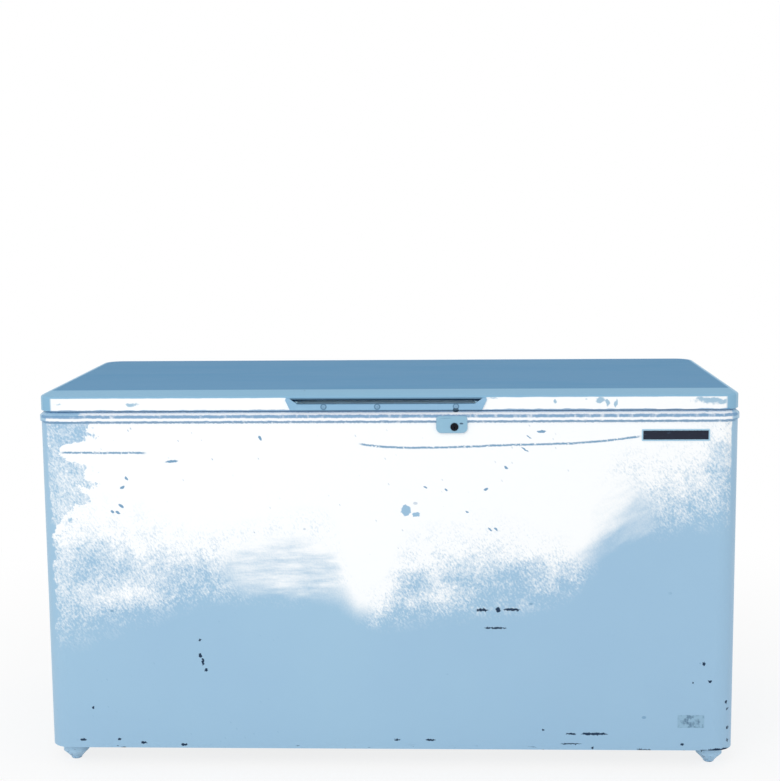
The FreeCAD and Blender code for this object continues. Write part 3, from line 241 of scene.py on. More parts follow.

# the front's wear, and the painted highlight that whitens its upper part
frontWearAndHighlight = {  # places on the front in metres: across, up
    "whiteLine": (  # above it a painted highlight turns the paint white
        (-0.83, 0.6), (-0.6, 0.58), (-0.42, 0.55), (-0.15, 0.57), (-0.05, 0.42), (0.06, 0.53),
        (0.28, 0.56), (0.4, 0.54), (0.5, 0.66), (0.56, 0.73), (0.7, 0.77), (0.83, 0.88)),
    "blueLine": (  # below it the paint is blue
        (-0.83, 0.28), (-0.58, 0.35), (-0.42, 0.4), (-0.18, 0.39), (-0.04, 0.34), (0.12, 0.36),
        (0.36, 0.38), (0.45, 0.43), (0.53, 0.52), (0.66, 0.565), (0.83, 0.59)),
    "blueClouds": (  # across, up, half width, half height, weight
        (-0.7, 0.51, 0.13, 0.1, 0.45), (-0.5, 0.49, 0.18, 0.07, 0.2), (0.06, 0.46, 0.07, 0.05, 0.35),
        (0.28, 0.475, 0.18, 0.08, 0.4), (0.765, 0.765, 0.035, 0.08, 0.4)),
    "whiteClouds": (
        (-0.63, 0.43, 0.15, 0.05, 0.38), (-0.24, 0.45, 0.17, 0.06, 0.36), (0.13, 0.42, 0.1, 0.05, 0.4)),
    "softZones": (  # smooth, without speckle
        (-0.24, 0.49, 0.22, 0.13, 2.0), (-0.12, 0.4, 0.12, 0.09, 2.0), (0.52, 0.6, 0.16, 0.16, 2.0)),
    "cloudLift": 0.03,
    "speckle": {"fine": 1.3, "grain": 2.0, "blot": 1.1},
    "streak": {"zone": (-0.24, 0.49, 0.2, 0.11), "strength": 1.25},
    "wisp": {"zone": (0.54, 0.61, 0.16, 0.16), "strength": 1.0},
    "patch": {  # less of the painted highlight down the left edge; the line gives its reach at each height
        "line": ((0.05, 0.03), (0.5, 0.035), (0.6, 0.06), (0.65, 0.1), (0.73, 0.13), (0.765, 0.05),
                 (0.785, 0.05), (0.8, 0.12), (0.845, 0.125)),
        "widest": 0.5, "edge": (-0.006, 0.01), "tear": 0.16, "cap": 1.5, "drop": 1.06,
        "highUp": (0.775, 0.81), "highDrop": 0.18},
    "rightFade": {"across": (0.735, 0.8), "up": (0.6, 0.7), "amount": 0.12},
    "edge": {"width": 0.02, "soft": 0.002, "ragged": 0.008,  # the strip of blue down both ends
             "tearAcross": (-0.7, -0.6), "tearUp": (0.62, 0.7), "tearRagged": 0.05, "tearWidth": 0.008},
    "courses": (  # long scored lines
        ((-0.06, 0.79), (0.0, 0.7835), (0.075, 0.7815), (0.31, 0.788), (0.45, 0.792), (0.59, 0.8065)),
        ((-0.768, 0.7715), (-0.572, 0.7705))),
    "courseWidth": 0.0052, "courseWander": 0.004, "courseEnd": 0.008,
    "scratches": (  # across, up, half length, half width, turn
        (-0.508, 0.75, 0.02, 0.004, -0.08), (0.363, 0.819, 0.014, 0.0042, 0.0),
        (0.324, 0.777, 0.014, 0.0022, 0.6), (0.334, 0.806, 0.009, 0.0018, 0.5),
        (-0.297, 0.805, 0.008, 0.004, 1.1), (-0.617, 0.709, 0.007, 0.004, 1.0),
        (-0.627, 0.688, 0.008, 0.004, -0.5), (-0.632, 0.643, 0.009, 0.0045, 0.6),
        (-0.64, 0.627, 0.008, 0.0045, 0.5), (-0.653, 0.629, 0.006, 0.004, 0.6),
        (0.281, 0.734, 0.007, 0.004, 0.9), (0.234, 0.682, 0.007, 0.004, -0.4),
        (0.14, 0.681, 0.006, 0.003, 0.6), (0.091, 0.687, 0.006, 0.0026, 0.6),
        (0.189, 0.628, 0.005, 0.0026, 0.6), (0.243, 0.586, 0.008, 0.003, 0.8),
        (0.257, 0.586, 0.008, 0.003, 0.8)),
    "underRimShadow": (-0.0282, -0.0268),  # a painted shadow line under the rim, up from the rim's top
    "dents": ((0.045, 0.631, 0.014, 0.017), (0.07, 0.622, 0.012, 0.008)),
    "chips": (
        (-0.452, 0.315, 0.004, 0.005), (-0.452, 0.277, 0.005, 0.008),
        (-0.446, 0.261, 0.004, 0.012), (-0.439, 0.24, 0.005, 0.005),
        (0.225, 0.39, 0.018, 0.005), (0.262, 0.39, 0.007, 0.008),
        (0.295, 0.391, 0.026, 0.004), (0.255, 0.346, 0.034, 0.0026),
        (-0.743, 0.064, 0.01, 0.004), (-0.655, 0.066, 0.006, 0.003),
        (-0.595, 0.058, 0.01, 0.004), (-0.497, 0.053, 0.01, 0.004),
        (0.436, 0.085, 0.016, 0.003), (0.493, 0.085, 0.04, 0.0042),
        (0.437, 0.06, 0.034, 0.0022, 0.8), (0.79, 0.0455, 0.036, 0.0052),
        (0.805, 0.162, 0.004, 0.005), (0.8095, 0.145, 0.004, 0.004),
        (0.811, 0.098, 0.005, 0.005), (0.812, 0.066, 0.004, 0.005),
        (0.488, 0.05, 0.004, 0.003), (0.611, 0.0462, 0.024, 0.0018, 0.8),
        (0.75, 0.259, 0.005, 0.006), (0.725, 0.212, 0.003, 0.003),
        (0.765, 0.216, 0.006, 0.004), (-0.716, 0.145, 0.004, 0.004),
        (0.02, 0.068, 0.01, 0.003), (0.1, 0.068, 0.016, 0.003),
        (0.7015, 0.06, 0.005, 0.004), (0.37, 0.094, 0.003, 0.003)),
    "gritBand": (0.004, 0.012),  # chips along the bottom edge, up from it
    "ripples": {
        "cloud": dict(scale=7.0, detail=4.0, shift=(3.1, 0, 1.7)),
        "torn": dict(scale=36.0, detail=4.0, rough=0.65, stretch=(1, 0.2, 1), shift=(4, 0, 6)),
        "fine": dict(scale=230.0, rough=0.6, stretch=(1, 0.2, 1.6), slant=-1.0),
        "grain": dict(scale=105.0, rough=0.6, stretch=(1, 0.2, 2.0), slant=-1.0),
        "blot": dict(scale=34.0, detail=2.0, rough=0.5, stretch=(1, 0.2, 1), shift=(7, 0, 2)),
        "streak": dict(scale=9.0, detail=4.0, rough=0.6, stretch=(1.1, 0.2, 6.0), turn=0.05),
        "wisp": dict(scale=7.0, stretch=(1.0, 0.2, 3.6), slant=0.6),
        "ragged": dict(scale=42.0, detail=4.0, rough=0.65, stretch=(1, 0.2, 1), shift=(1, 0, 9)),
        "wander": dict(scale=26.0, detail=2.0, stretch=(1, 0, 0))},
    "patches": {
        "broken": dict(low=0.3, high=0.46, scale=160.0, detail=2.0),
        "patchy": dict(low=0.25, high=0.5, scale=55.0, rough=0.6, stretch=(1, 1, 0.3), shift=(6, 0, 0)),
        "fleckArea": dict(low=0.42, high=0.55, scale=5.0, detail=2.0),
        "speckArea": dict(low=0.4, high=0.58, scale=6.0, detail=2.0, shift=(5, 0, 5)),
        "grit": dict(low=0.66, high=0.7, scale=70.0, rough=0.7, stretch=(0.35, 0.2, 2.2), shift=(2, 0, 4))},
    "flecks": dict(scale=15.0, size=0.1, share=0.16, stretch=(1, 0.1, 1.5)),
    "specks": dict(scale=36.0, size=0.14, share=0.34, stretch=(1, 0.1, 2.2), slant=-1.0),
}


def highlightLevel(finish, ripples):  # 0 where the paint shows its blue, 1 where a painted highlight turns it white
    x, z, wear = finish.x, finish.z, frontWearAndHighlight
    low, high, top = skinLow.x, skinHigh.x, skinHigh.z
    blueEnd = finish.along(x, low, high, wear["blueLine"], top)
    whiteEnd = finish.along(x, low, high, wear["whiteLine"], top)
    level = (z - blueEnd + ripples["cloud"] * wear["cloudLift"]) / (whiteEnd - blueEnd)
    level = level + finish.spots(wear["whiteClouds"]) - finish.spots(wear["blueClouds"])
    patch = wear["patch"]
    reach = finish.along(z, 0.0, top, patch["line"], patch["widest"])
    inPatch = (reach - (x - low) + ripples["torn"] * patch["tear"]).rise(*patch["edge"])
    drop = patch["drop"] + z.rise(*patch["highUp"]) * patch["highDrop"]
    level = level.least(patch["cap"] - inPatch * drop)
    fade = wear["rightFade"]
    return level - x.rise(*fade["across"]) * z.rise(*fade["up"]) * fade["amount"]


def highlightShare(finish, ripples, level, softness):  # speckled on the whole, smooth in the soft zones
    x, z, wear = finish.x, finish.z, frontWearAndHighlight
    fine, grain, blot = (ripples[name] * weight for name, weight in wear["speckle"].items())
    grainy = level.rise(-0.1, 0.25) * level.fall(0.85, 1.45)
    speckled = (level.rise(0.0, 1.0) + (fine + grain + blot) * grainy).most(0.0).least(1.0)
    streak, wisp = (ripples[name] * finish.spot(*wear[name]["zone"]).rise(0.0, 0.5) * wear[name]["strength"]
                    for name in ("streak", "wisp"))
    smooth = (level + ripples["cloud"] * 0.3 + ripples["fine"] * 0.3 + streak + wisp).rise(0.02, 0.98)
    white = softness * smooth + (1 - softness) * speckled
    strip = wear["edge"]
    leftTear = x.fall(*strip["tearAcross"]) * z.fall(*strip["tearUp"])
    across = abs(x) + ripples["ragged"] * (strip["ragged"] + leftTear * strip["tearRagged"])
    inner = skinHigh.x - strip["width"]
    edge = (across + leftTear * strip["tearWidth"]).rise(inner - strip["soft"], inner + strip["soft"])
    return white * (1 - edge)


def frontScuffsAndShadow(finish, ripples, patches, mottled, dents):
    x, z, wear = finish.x, finish.z, frontWearAndHighlight
    scuffs = dents * 0.15
    scratched = finish.shaken(140.0, 0.005)
    for mark in wear["scratches"]:
        scuffs = scuffs.most(finish.spot(*mark, scratched).rise(0.1, 0.4))
    width = wear["courseWidth"]
    wander = ripples["wander"] * wear["courseWander"] + ripples["fine"] * wear["courseWander"]
    for course in wear["courses"]:
        offset = abs(z - finish.along(x, skinLow.x, skinHigh.x, course, skinHigh.z) + wander)
        ends = x.span(course[0][0], course[-1][0], wear["courseEnd"])
        scuffs = scuffs.most(offset.fall(width * 0.2, width * 0.7) * ends * patches["broken"])
    # painted shadow on the wrapper under the collar's rim
    underRimShadow = (z + ripples["grain"] * 0.005).rise(*wear["underRimShadow"], rimHigh.z)
    scuffs = scuffs.most(underRimShadow * (0.3 + patches["patchy"] * 0.55))
    scuffs = scuffs.most(finish.flecks(**wear["flecks"]) * patches["fleckArea"] * 0.8)
    leftward = x.fall(-0.45, 0.1)
    specks = finish.flecks(**wear["specks"]) * patches["speckArea"] * (leftward * 0.25 + mottled * 0.45)
    return scuffs.most(specks)


def frontHighlightAndWear(finish):  # the painted highlight that whitens the front, its scuffs with a painted shadow under the rim, and its chips
    wear = frontWearAndHighlight
    ripples = {name: finish.ripple(**given) for name, given in wear["ripples"].items()}
    patches = {name: finish.patches(**given) for name, given in wear["patches"].items()}
    level = highlightLevel(finish, ripples)
    softness = finish.spots(wear["softZones"]).rise(0.25, 1.0)
    dents = finish.spots(wear["dents"], finish.shaken(130.0, 0.012)).rise(0.12, 0.3)
    white = highlightShare(finish, ripples, level, softness) * (1 - dents)
    mottled = level.fall(1.2, 2.0) * level.rise(0.0, 0.3) * (1 - softness)
    scuffs = frontScuffsAndShadow(finish, ripples, patches, mottled, dents)
    chips = finish.spots(wear["chips"], finish.shaken(210.0, 0.009)).rise(0.12, 0.34)
    grit = patches["grit"] * finish.z.fall(*wear["gritBand"], skinLow.z)
    return white, scuffs, chips.most(grit)


frontPaint = {
    "hazeBlue": tint(162, 199, 222), "deepBlue": tint(152, 188, 217), "dustBlue": tint(200, 222, 236),
    "scuffBlue": tint(120, 160, 192),
    "frontEnd": (0.01, 0.024),  # the front's wear ends so far round the corners
    "haze": dict(low=0.35, high=0.75, scale=1.7, shift=(0, 4, 0)),
    "deep": dict(low=0.35, high=0.8, scale=3.0, detail=2.0),
    "dust": dict(low=0.52, high=0.78, scale=11.0, detail=5.0, rough=0.6, stretch=(1, 1, 0.3)),
    "sideChips": dict(scale=16.0, size=0.07, share=0.1, stretch=(1, 1, 0.7)),
}


def frontEnamel():
    finish = Finish("front_enamel")
    given = frontPaint
    onFront = finish.y.fall(*given["frontEnd"], skinLow.y)
    white, scuffs, chips = frontHighlightAndWear(finish)
    marks = (chips * onFront).most(finish.flecks(**given["sideChips"]) * (1 - onFront))
    # the front's white is painted highlight; the scuff colour also paints a shadow under the rim
    colour = finish.layers(
        paleBlue, (finish.patches(**given["haze"]) * 0.5, given["hazeBlue"]),
        (finish.patches(**given["deep"]) * 0.3, given["deepBlue"]),
        (finish.patches(**given["dust"]) * 0.35 * (1 - onFront), given["dustBlue"]),
        (white * onFront, highlightWhite), (scuffs * onFront, given["scuffBlue"]), (marks, chipNavy))
    peel = finish.noise(260.0, 2.0)
    roughness = 0.4 + white * onFront * 0.2 + marks * 0.2 + peel * 0.05
    height = peel * 0.12 - marks * 0.6 - scuffs * onFront * 0.35
    return finish.done(colour, roughness, height, relief=0.0004, specular=0.3)


rearPaint = {
    "dustBlue": tint(150, 184, 210), "dripBlue": tint(190, 214, 230),
    "drips": dict(low=0.5, high=0.8, scale=14.0, detail=5.0, rough=0.6, stretch=(1.4, 1, 0.16)),
    "dust": dict(low=0.4, high=0.75, scale=4.0, detail=5.0, rough=0.6),
    "chips": dict(scale=13.0, size=0.06, share=0.14, stretch=(1, 0.2, 0.8)),
}


def rearEnamel():
    finish = Finish("rear_enamel")
    dust, drips = (finish.patches(**rearPaint[name]) for name in ("dust", "drips"))
    chips = finish.flecks(**rearPaint["chips"])
    colour = finish.layers(paleBlue, (dust * 0.35, rearPaint["dustBlue"]),
                           (drips * 0.3, rearPaint["dripBlue"]), (chips, chipNavy))
    peel = finish.noise(260.0, 2.0)
    return finish.done(colour, 0.44 + dust * 0.14, peel * 0.15 - chips * 0.5, relief=0.0004, specular=0.3)


handleFinish = {
    "blue": tint(142, 184, 214), "rubBlue": tint(160, 199, 224), "seamShade": tint(88, 126, 156),
    # painted shade: the line under the slot's mouth, rings round the screws and the slot's inside
    "lipShadeDark": tint(64, 102, 132), "ringShadeDark": tint(72, 108, 138), "insideShadeDark": tint(40, 84, 120),
    # painted shade on the rim under the slot's top and at the floor's front; painted light on the floor
    "rimShadeDark": tint(52, 92, 122), "floorPaintedLight": tint(205, 240, 255), "floorNearShade": tint(104, 146, 176),
    "insideRun": (0.0022, 0.0045), "nearRun": (0.0065, 0.0085),  # back from the handle's front
    "slotLow": 0.0163, "floorRise": 0.0031, "gripRise": 0.0027,  # gripRise is the box's top over the face
    "lipHalf": (0.205, 0.212), "rimHalf": (0.222, 0.228), "screwRing": 0.0088,
    "rub": dict(low=0.52, high=0.72, scale=26.0, detail=4.0, rough=0.6, stretch=(0.5, 1, 2)),
}

lidFinish = {
    # topShadeBlue paints shade on the lid's top, darker than the front margin and the end band
    "topShadeBlue": tint(98, 148, 185), "smearBlue": tint(104, 153, 189), "wipeBlue": tint(122, 166, 198),
    "marginBlue": tint(140, 184, 212), "scuffBlue": tint(166, 197, 218), "chipBlue": tint(96, 134, 165),
    # lipShadeBlue is painted shade along the gap under the lid
    "lipShadeBlue": tint(100, 152, 194),
    "marginRun": 0.112, "marginSoft": 0.0012,  # the lighter margin, back from the front
    "corner": 0.048, "band": (-0.0115, -0.0075),  # the light band follows the rear corners round
    "bandRise": (-0.0085, -0.0055),  # up from the lid's top
    "faceRun": (0.0012, 0.0035), "faceEnd": (-0.021, -0.018), "whiteTop": 0.0052, "whiteSoft": 0.0008,
    "lipRise": (0.0016, 0.0032), "lipRun": (0.004, 0.007),
    "smear": dict(low=0.4, high=0.78, scale=5.0, detail=4.0, rough=0.6, stretch=(0.35, 1.6, 1)),
    "wipe": dict(low=0.58, high=0.8, scale=38.0, rough=0.6, stretch=(0.16, 1.2, 1)),
    "flecks": dict(scale=26.0, size=0.13, share=0.18, stretch=(1, 0.1, 1.6)),
    "chips": dict(scale=20.0, size=0.05, share=0.1, stretch=(1, 0.6, 1.3)),
    "scuffs": (
        (0.5, 0.894, 0.022, 0.013), (0.515, 0.886, 0.008, 0.016),
        (0.535, 0.886, 0.005, 0.018), (0.757, 0.892, 0.075, 0.013, 0.9),
        (0.78, 0.886, 0.04, 0.012, 0.7), (-0.6, 0.886, 0.028, 0.01, 0.9),
        (-0.775, 0.888, 0.02, 0.01, 0.6), (0.395, 0.89, 0.006, 0.009, 0.9),
        (0.25, 0.898, 0.03, 0.004, 0.6)),
}


def lidBand(finish, margin):  # 1 on the light band round the ends and the rear
    x, y, z = finish.x, finish.y, finish.z
    corner = lidFinish["corner"]
    across = (abs(x) - (lidHigh.x - corner)).most(0.0)
    back = (y - (lidHigh.y - corner)).most(0.0)
    edge = (across * across + back * back).root().rise(*lidFinish["band"], corner)
    return edge.most(z.fall(*lidFinish["bandRise"], lidHigh.z) * (1 - margin))


def lidFace(finish, wave):  # 1 on the front face, white with painted highlight
    x, y, z = finish.x, finish.y, finish.z
    top = lidHigh.z - lidFinish["whiteTop"]
    soft = lidFinish["whiteSoft"]
    face = y.fall(*lidFinish["faceRun"], lidLow.y)
    face = face * (z + wave * 0.002).fall(-soft, soft, top)
    face = face * (abs(x) + wave * 0.003).fall(*lidFinish["faceEnd"], lidHigh.x)
    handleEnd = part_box("lid_handle")[1]
    handleTop = handleEnd.z - handleFinish["gripRise"]
    overHandle = abs(x).fall(-0.002, 0.001, handleEnd.x) * z.rise(-0.001, 0.0, handleTop)
    return face * (1 - overHandle)


def lidEnamel():
    finish = Finish("lid_enamel")
    given = lidFinish
    wave = finish.ripple(30.0)
    soft = given["marginSoft"]
    margin = (finish.y + wave * 0.0016).fall(-soft, soft, lidLow.y + given["marginRun"])
    smear, wipe = (finish.patches(**given[name]) for name in ("smear", "wipe"))
    face = lidFace(finish, wave)
    grain = finish.ripple(85.0, 3.0, 0.6)
    scuffs = (finish.spots(given["scuffs"], finish.shaken(45.0, 0.016)) + grain * 0.7).rise(0.3, 0.62)
    scuffs = scuffs.most(finish.flecks(**given["flecks"]) * 0.7)
    chips = finish.flecks(**given["chips"]) * (face + margin).least(1.0)
    # painted shade along the lid gap, on the lid's lower front edge
    lip = (finish.z + wave * 0.006).fall(*given["lipRise"], lidLow.z)
    lip = lip * finish.y.fall(*given["lipRun"], lidLow.y)
    # the top is painted darker as shade; the front face is white with painted highlight
    colour = finish.layers(
        given["topShadeBlue"], (smear * 0.3, given["smearBlue"]), (wipe * 0.12, given["wipeBlue"]),
        (margin, given["marginBlue"]), (lidBand(finish, margin), edgeBlue), (face, highlightWhite),
        (face * scuffs, given["scuffBlue"]), (chips, given["chipBlue"]), (lip * 0.8, given["lipShadeBlue"]))
    peel = finish.noise(240.0, 2.0)
    return finish.done(colour, 0.56 + smear * 0.14, peel * 0.14 - chips * 0.4, relief=0.0004, specular=0.03)


# painted shade: a near-black spot where the lock's notch opens in the lid gap
notchShade = {"x": 0.1635, "reach": 0.0085, "rise": 0.0022, "collarRise": 0.004, "dark": tint(4, 6, 20)}

collarFinish = {
    "white": tint(250, 252, 254), "blue": tint(163, 198, 222), "shadow": tint(150, 196, 232),
    # seamShade is painted shade in the crease, the lid gap and under the rim
    "seamShade": tint(120, 160, 196), "inner": tint(176, 206, 226), "innerDust": tint(198, 220, 234),
    "crease": 0.0113, "topLine": 0.0008, "lowLine": 0.023,  # down from the rim's top
    "shadowRise": (-0.0055, -0.0005), "frontEnd": (0.02, 0.026), "leftRun": 0.112,
    "rightEnd": (-0.026, -0.02), "lineWidth": 0.0084,
    "wander": dict(scale=90.0, detail=4.0, rough=0.6, stretch=(1, 1, 0.2)),
    "patchy": dict(low=0.25, high=0.5, scale=55.0, rough=0.6, stretch=(1, 1, 0.3)),
    "blots": dict(low=0.6, high=0.7, scale=60.0, rough=0.6),
    "dust": dict(low=0.35, high=0.75, scale=7.0, detail=4.0, rough=0.6),
}


def collarPlastic():
    finish = Finish("collar_plastic")
    given = collarFinish
    x, y, z = finish.x, finish.y, finish.z
    top, width = rimHigh.z, given["lineWidth"]
    crease = top - given["crease"]
    wander = finish.ripple(**given["wander"]) * 0.0044
    level = z + wander
    patchy = finish.patches(**given["patchy"])
    # painted shade lines: the crease, the gap under the lid and the rim's lower edge
    lines = level.line(crease, width).most(level.line(top - given["topLine"], width * 0.4) * 0.6)
    lines = lines.most(level.line(top - given["lowLine"], width * 0.5))
    onFront = y.fall(*given["frontEnd"], rimLow.y)
    leftEnd = (x + wander * 6).fall(-0.01, 0.0, rimLow.x + given["leftRun"])
    rightEnd = (abs(x) + wander * 3).rise(*given["rightEnd"], rimHigh.x)
    shoulder = z.rise(-0.001, 0.001, crease)
    blots = finish.patches(**given["blots"]) * x.rise(0.6, 0.8)
    blue = (leftEnd * shoulder).most(rightEnd).most(blots * 0.8)
    shadow = (z + wander * 0.3).rise(*given["shadowRise"], top)
    # painted shade of the notch on the collar's top
    notchShadow = finish.spot(notchShade["x"], top, notchShade["reach"], notchShade["collarRise"]).rise(0.05, 0.3)
    outer = finish.layers(given["white"], (blue, given["blue"]), (shadow * 0.55, given["shadow"]),
                          (notchShadow, notchShade["dark"]), (lines * (0.3 + patchy * 0.65), given["seamShade"]))
    inner = finish.blend(finish.patches(**given["dust"]) * 0.4, given["inner"], given["innerDust"])
    colour = finish.blend(onFront, inner, outer)
    shine = finish.noise(180.0, 2.0)
    return finish.done(colour, 0.42 + lines * 0.2, shine * 0.12 - lines * 0.2, relief=0.0004, specular=0.25)


def handlePlastic():
    finish = Finish("handle_plastic")
    given = handleFinish
    y, z, across = finish.y, finish.z, abs(finish.x)
    low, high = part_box("lid_handle")
    slotLow = low.z + given["slotLow"]
    slotFloor = slotLow + given["floorRise"]
    faceTop = high.z - given["gripRise"]
    grain = finish.noise(420.0, 2.0)
    # painted shade along the handle's lower edge, by the lid gap
    seamShade = (z - low.z + grain * 0.001).fall(0.0006, 0.003) * 0.75
    # painted shade: a dark line under the slot's mouth
    lip = (z + finish.ripple(60.0, 2.0) * 0.001).line(slotLow - 0.0004, 0.0028)
    # painted shade of the notch at the handle's lower edge
    notchShadow = finish.spot(notchShade["x"], low.z, notchShade["reach"], notchShade["rise"]).rise(0.05, 0.3)
    # painted shade: a dark ring round each screw head
    rings = []
    for screwLow, screwHigh in solidBoxes("handle_screws"):
        middle = (screwLow + screwHigh) / 2
        ring = finish.spot(middle.x, middle.z, given["screwRing"], given["screwRing"]).rise(0.06, 0.24)
        rings.append((ring * 0.75, given["ringShadeDark"]))
    # painted shade inside the slot and on the rim under its top; painted light on the slot's floor, painted
    # shade at its front
    inside = y.rise(*given["insideRun"], low.y)
    topRim = z.rise(-0.0018, -0.0008, faceTop) * across.fall(*given["rimHalf"])
    floor = z.fall(0.0, 0.001, slotFloor) * inside
    nearFloor = floor * y.fall(*given["nearRun"], low.y)
    colour = finish.layers(
        given["blue"], (finish.patches(**given["rub"]) * 0.35, given["rubBlue"]), (seamShade, given["seamShade"]),
        (lip * across.fall(*given["lipHalf"]) * 0.8, given["lipShadeDark"]), (notchShadow, notchShade["dark"]), *rings,
        (inside, given["insideShadeDark"]), (topRim * 0.85, given["rimShadeDark"]), (floor, given["floorPaintedLight"]),
        (nearFloor, given["floorNearShade"]))
    return finish.done(colour, 0.46 + grain * 0.08, grain * 0.3, specular=0.2)


lockFinish = {
    "blue": tint(144, 186, 210), "rubBlue": tint(158, 198, 219), "rimBlue": tint(122, 162, 190),
    "dark": tint(46, 72, 98), "faint": tint(112, 150, 178), "shade": tint(60, 88, 116), "keyShade": 0.0125,
    "rim": (0.0004, 0.0018), "darkDash": (0.1765, 0.8395, 0.0058, 0.0028, 0.0),
    "faintDash": (0.14, 0.852, 0.018, 0.0016, 0.0),
    "rub": dict(low=0.5, high=0.72, scale=40.0, detail=4.0, rough=0.6),
}


def lockPlate():
    finish = Finish("lock_plastic")
    given = lockFinish
    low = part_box("lock_escutcheon")[0]
    key = sum(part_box("lock_key_barrel"), Vector()) / 2
    grain = finish.noise(320.0, 2.0)
    rim = finish.z.fall(*given["rim"], low.z).most(finish.x.fall(*given["rim"], low.x))
    shaken = finish.shaken(300.0, 0.002)
    dark, faint = (finish.spot(*given[dash], shaken).rise(0.1, 0.4) for dash in ("darkDash", "faintDash"))
    shade = finish.spot(key.x, key.z, given["keyShade"], given["keyShade"]).rise(0.1, 0.28)
    colour = finish.layers(
        given["blue"], (finish.patches(**given["rub"]) * 0.4, given["rubBlue"]),
        (rim * 0.5, given["rimBlue"]), (dark * 0.85, given["dark"]), (faint * 0.5, given["faint"]),
        (shade * 0.6, given["shade"]))
    return finish.done(colour, 0.4 + grain * 0.1, grain * 0.3 - dark * 0.6, specular=0.25)


footPaint = {
    "blue": tint(172, 209, 236), "dustBlue": tint(184, 216, 238), "bandBlue": tint(110, 146, 176),
    "tread": (0.0, 0.006), "neck": (0.0405, 0.044),  # darker bands, up from the floor; the neck's is painted shade under the cabinet
    "chips": dict(low=0.61, high=0.64, scale=110.0, detail=4.0, rough=0.65),
    "dust": dict(low=0.4, high=0.7, scale=30.0, detail=4.0, rough=0.6),
}


def footEnamel():
    finish = Finish("foot_paint")
    chips, dust = (finish.patches(**footPaint[name]) for name in ("chips", "dust"))
    # worn marks the darker bands: painted shade at the neck under the cabinet, and darker towards the floor
    # at the tread
    worn = finish.z.fall(*footPaint["tread"]).most(finish.z.rise(*footPaint["neck"]))
    colour = finish.layers(footPaint["blue"], (dust * 0.5, footPaint["dustBlue"]),
                           (worn * 0.5, footPaint["bandBlue"]), (chips * 0.8, chipNavy))
    return finish.done(colour, 0.5, chips * -0.6 + dust * 0.1, relief=0.0004, specular=0.25)


def metalFinish(name, colour, spangle, roughness):  # sheet metal with crystal spangle and light dirt
    finish = Finish(name)
    cells = finish.node("ShaderNodeTexVoronoi", sockets={
        "Vector": finish.place, "Scale": spangle}, output="Color")
    tone = finish.node("ShaderNodeSeparateColor", sockets={0: cells})
    dirt = finish.patches(0.45, 0.8, 18.0, 5.0, 0.65)
    base = finish.layers(colour, (tone * 0.5, darkened(colour, 0.72)), (dirt * 0.45, darkened(colour, 0.5)))
    fine = finish.noise(300.0, 2.0)
    return finish.done(base, roughness + tone * 0.12 + dirt * 0.15, fine * 0.2 + tone * 0.1,
                       metallic=0.9 - dirt * 0.3)


def plainPlastic(name, colour, lighter, roughness, grainScale=350.0):  # moulded, with fine grain and dust
    finish = Finish(name)
    grain = finish.noise(grainScale, 2.0)
    dust = finish.patches(0.45, 0.8, 12.0, 5.0, 0.6)
    base = finish.blend(dust * 0.6, colour, lighter)
    return finish.done(base, roughness + grain * 0.1 + dust * 0.12, grain * 0.4, specular=0.3)


tubFinish = {
    "metal": tint(202, 218, 230), "frost": tint(238, 245, 250), "stucco": 150.0, "crustRise": (0.1, 0.34),
    "frosted": dict(low=0.36, high=0.74, scale=16.0, detail=6.0, rough=0.7, stretch=(1, 1, 0.6)),
}


def tubAluminium():  # stucco-embossed sheet, lightly frosted towards the floor
    finish = Finish("tub_aluminium")
    stucco = finish.node("ShaderNodeTexVoronoi", {"feature": "SMOOTH_F1"}, {
        "Vector": finish.place, "Scale": tubFinish["stucco"], "Smoothness": 0.6}, "Distance")
    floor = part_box("inner_liner")[0].z
    crust = (finish.z + finish.noise(6.0, 4.0, 0.6) * 0.16).fall(*tubFinish["crustRise"], floor)
    frost = finish.patches(**tubFinish["frosted"]) * (0.25 + crust * 0.75)
    colour = finish.blend(frost * 0.8, tubFinish["metal"], tubFinish["frost"])
    return finish.done(colour, 0.38 + frost * 0.35, stucco * -1.0, relief=0.0012, metallic=0.45 - frost * 0.4)


def foamFinish():
    finish = Finish("insulation_foam")
    cells = finish.node("ShaderNodeTexVoronoi", sockets={
        "Vector": finish.place, "Scale": 420.0}, output="Distance")
    tone = finish.noise(15.0, 5.0, 0.6)
    colour = finish.blend(tone, tint(226, 206, 150), tint(204, 178, 118))
    return finish.done(colour, 0.9, cells, relief=0.0008)


def copperFinish():
    finish = Finish("copper_tube")
    tarnish = finish.patches(0.4, 0.72, 34.0, 5.0, 0.65)
    colour = finish.blend(tarnish, tint(204, 126, 86), tint(120, 72, 52))
    fine = finish.noise(400.0, 2.0)
    return finish.done(colour, 0.26 + tarnish * 0.3, fine * 0.2, relief=0.0002, metallic=1.0 - tarnish * 0.3)


# the barrel is painted near black as the keyhole's shade
keyPaint = {
    "dark": tint(4, 4, 16), "worn": tint(34, 42, 62), "rim": tint(90, 104, 122), "rimRun": (0.0006, 0.0016),
}


def keyFinish():
    finish = Finish("key_barrel_steel")
    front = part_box("lock_key_barrel")[0].y
    wear = finish.patches(0.5, 0.75, 500.0, 3.0, 0.6)
    rim = finish.y.rise(*keyPaint["rimRun"], front)
    # near-black base: painted shade of the keyhole
    colour = finish.layers(keyPaint["dark"], (wear * 0.3, keyPaint["worn"]), (rim * 0.5, keyPaint["rim"]))
    return finish.done(colour, 0.4 + wear * 0.25, wear * 0.3, relief=0.0002, metallic=0.15, specular=0.2)


knobPaint = {
    "dark": tint(58, 74, 92), "rubbed": tint(88, 106, 124), "pointer": tint(214, 226, 236),
    "pointerHalf": 0.0012, "pointerSoft": 0.0004, "pointerStart": (0.001, 0.002), "crown": (-0.0016, -0.0008),
}


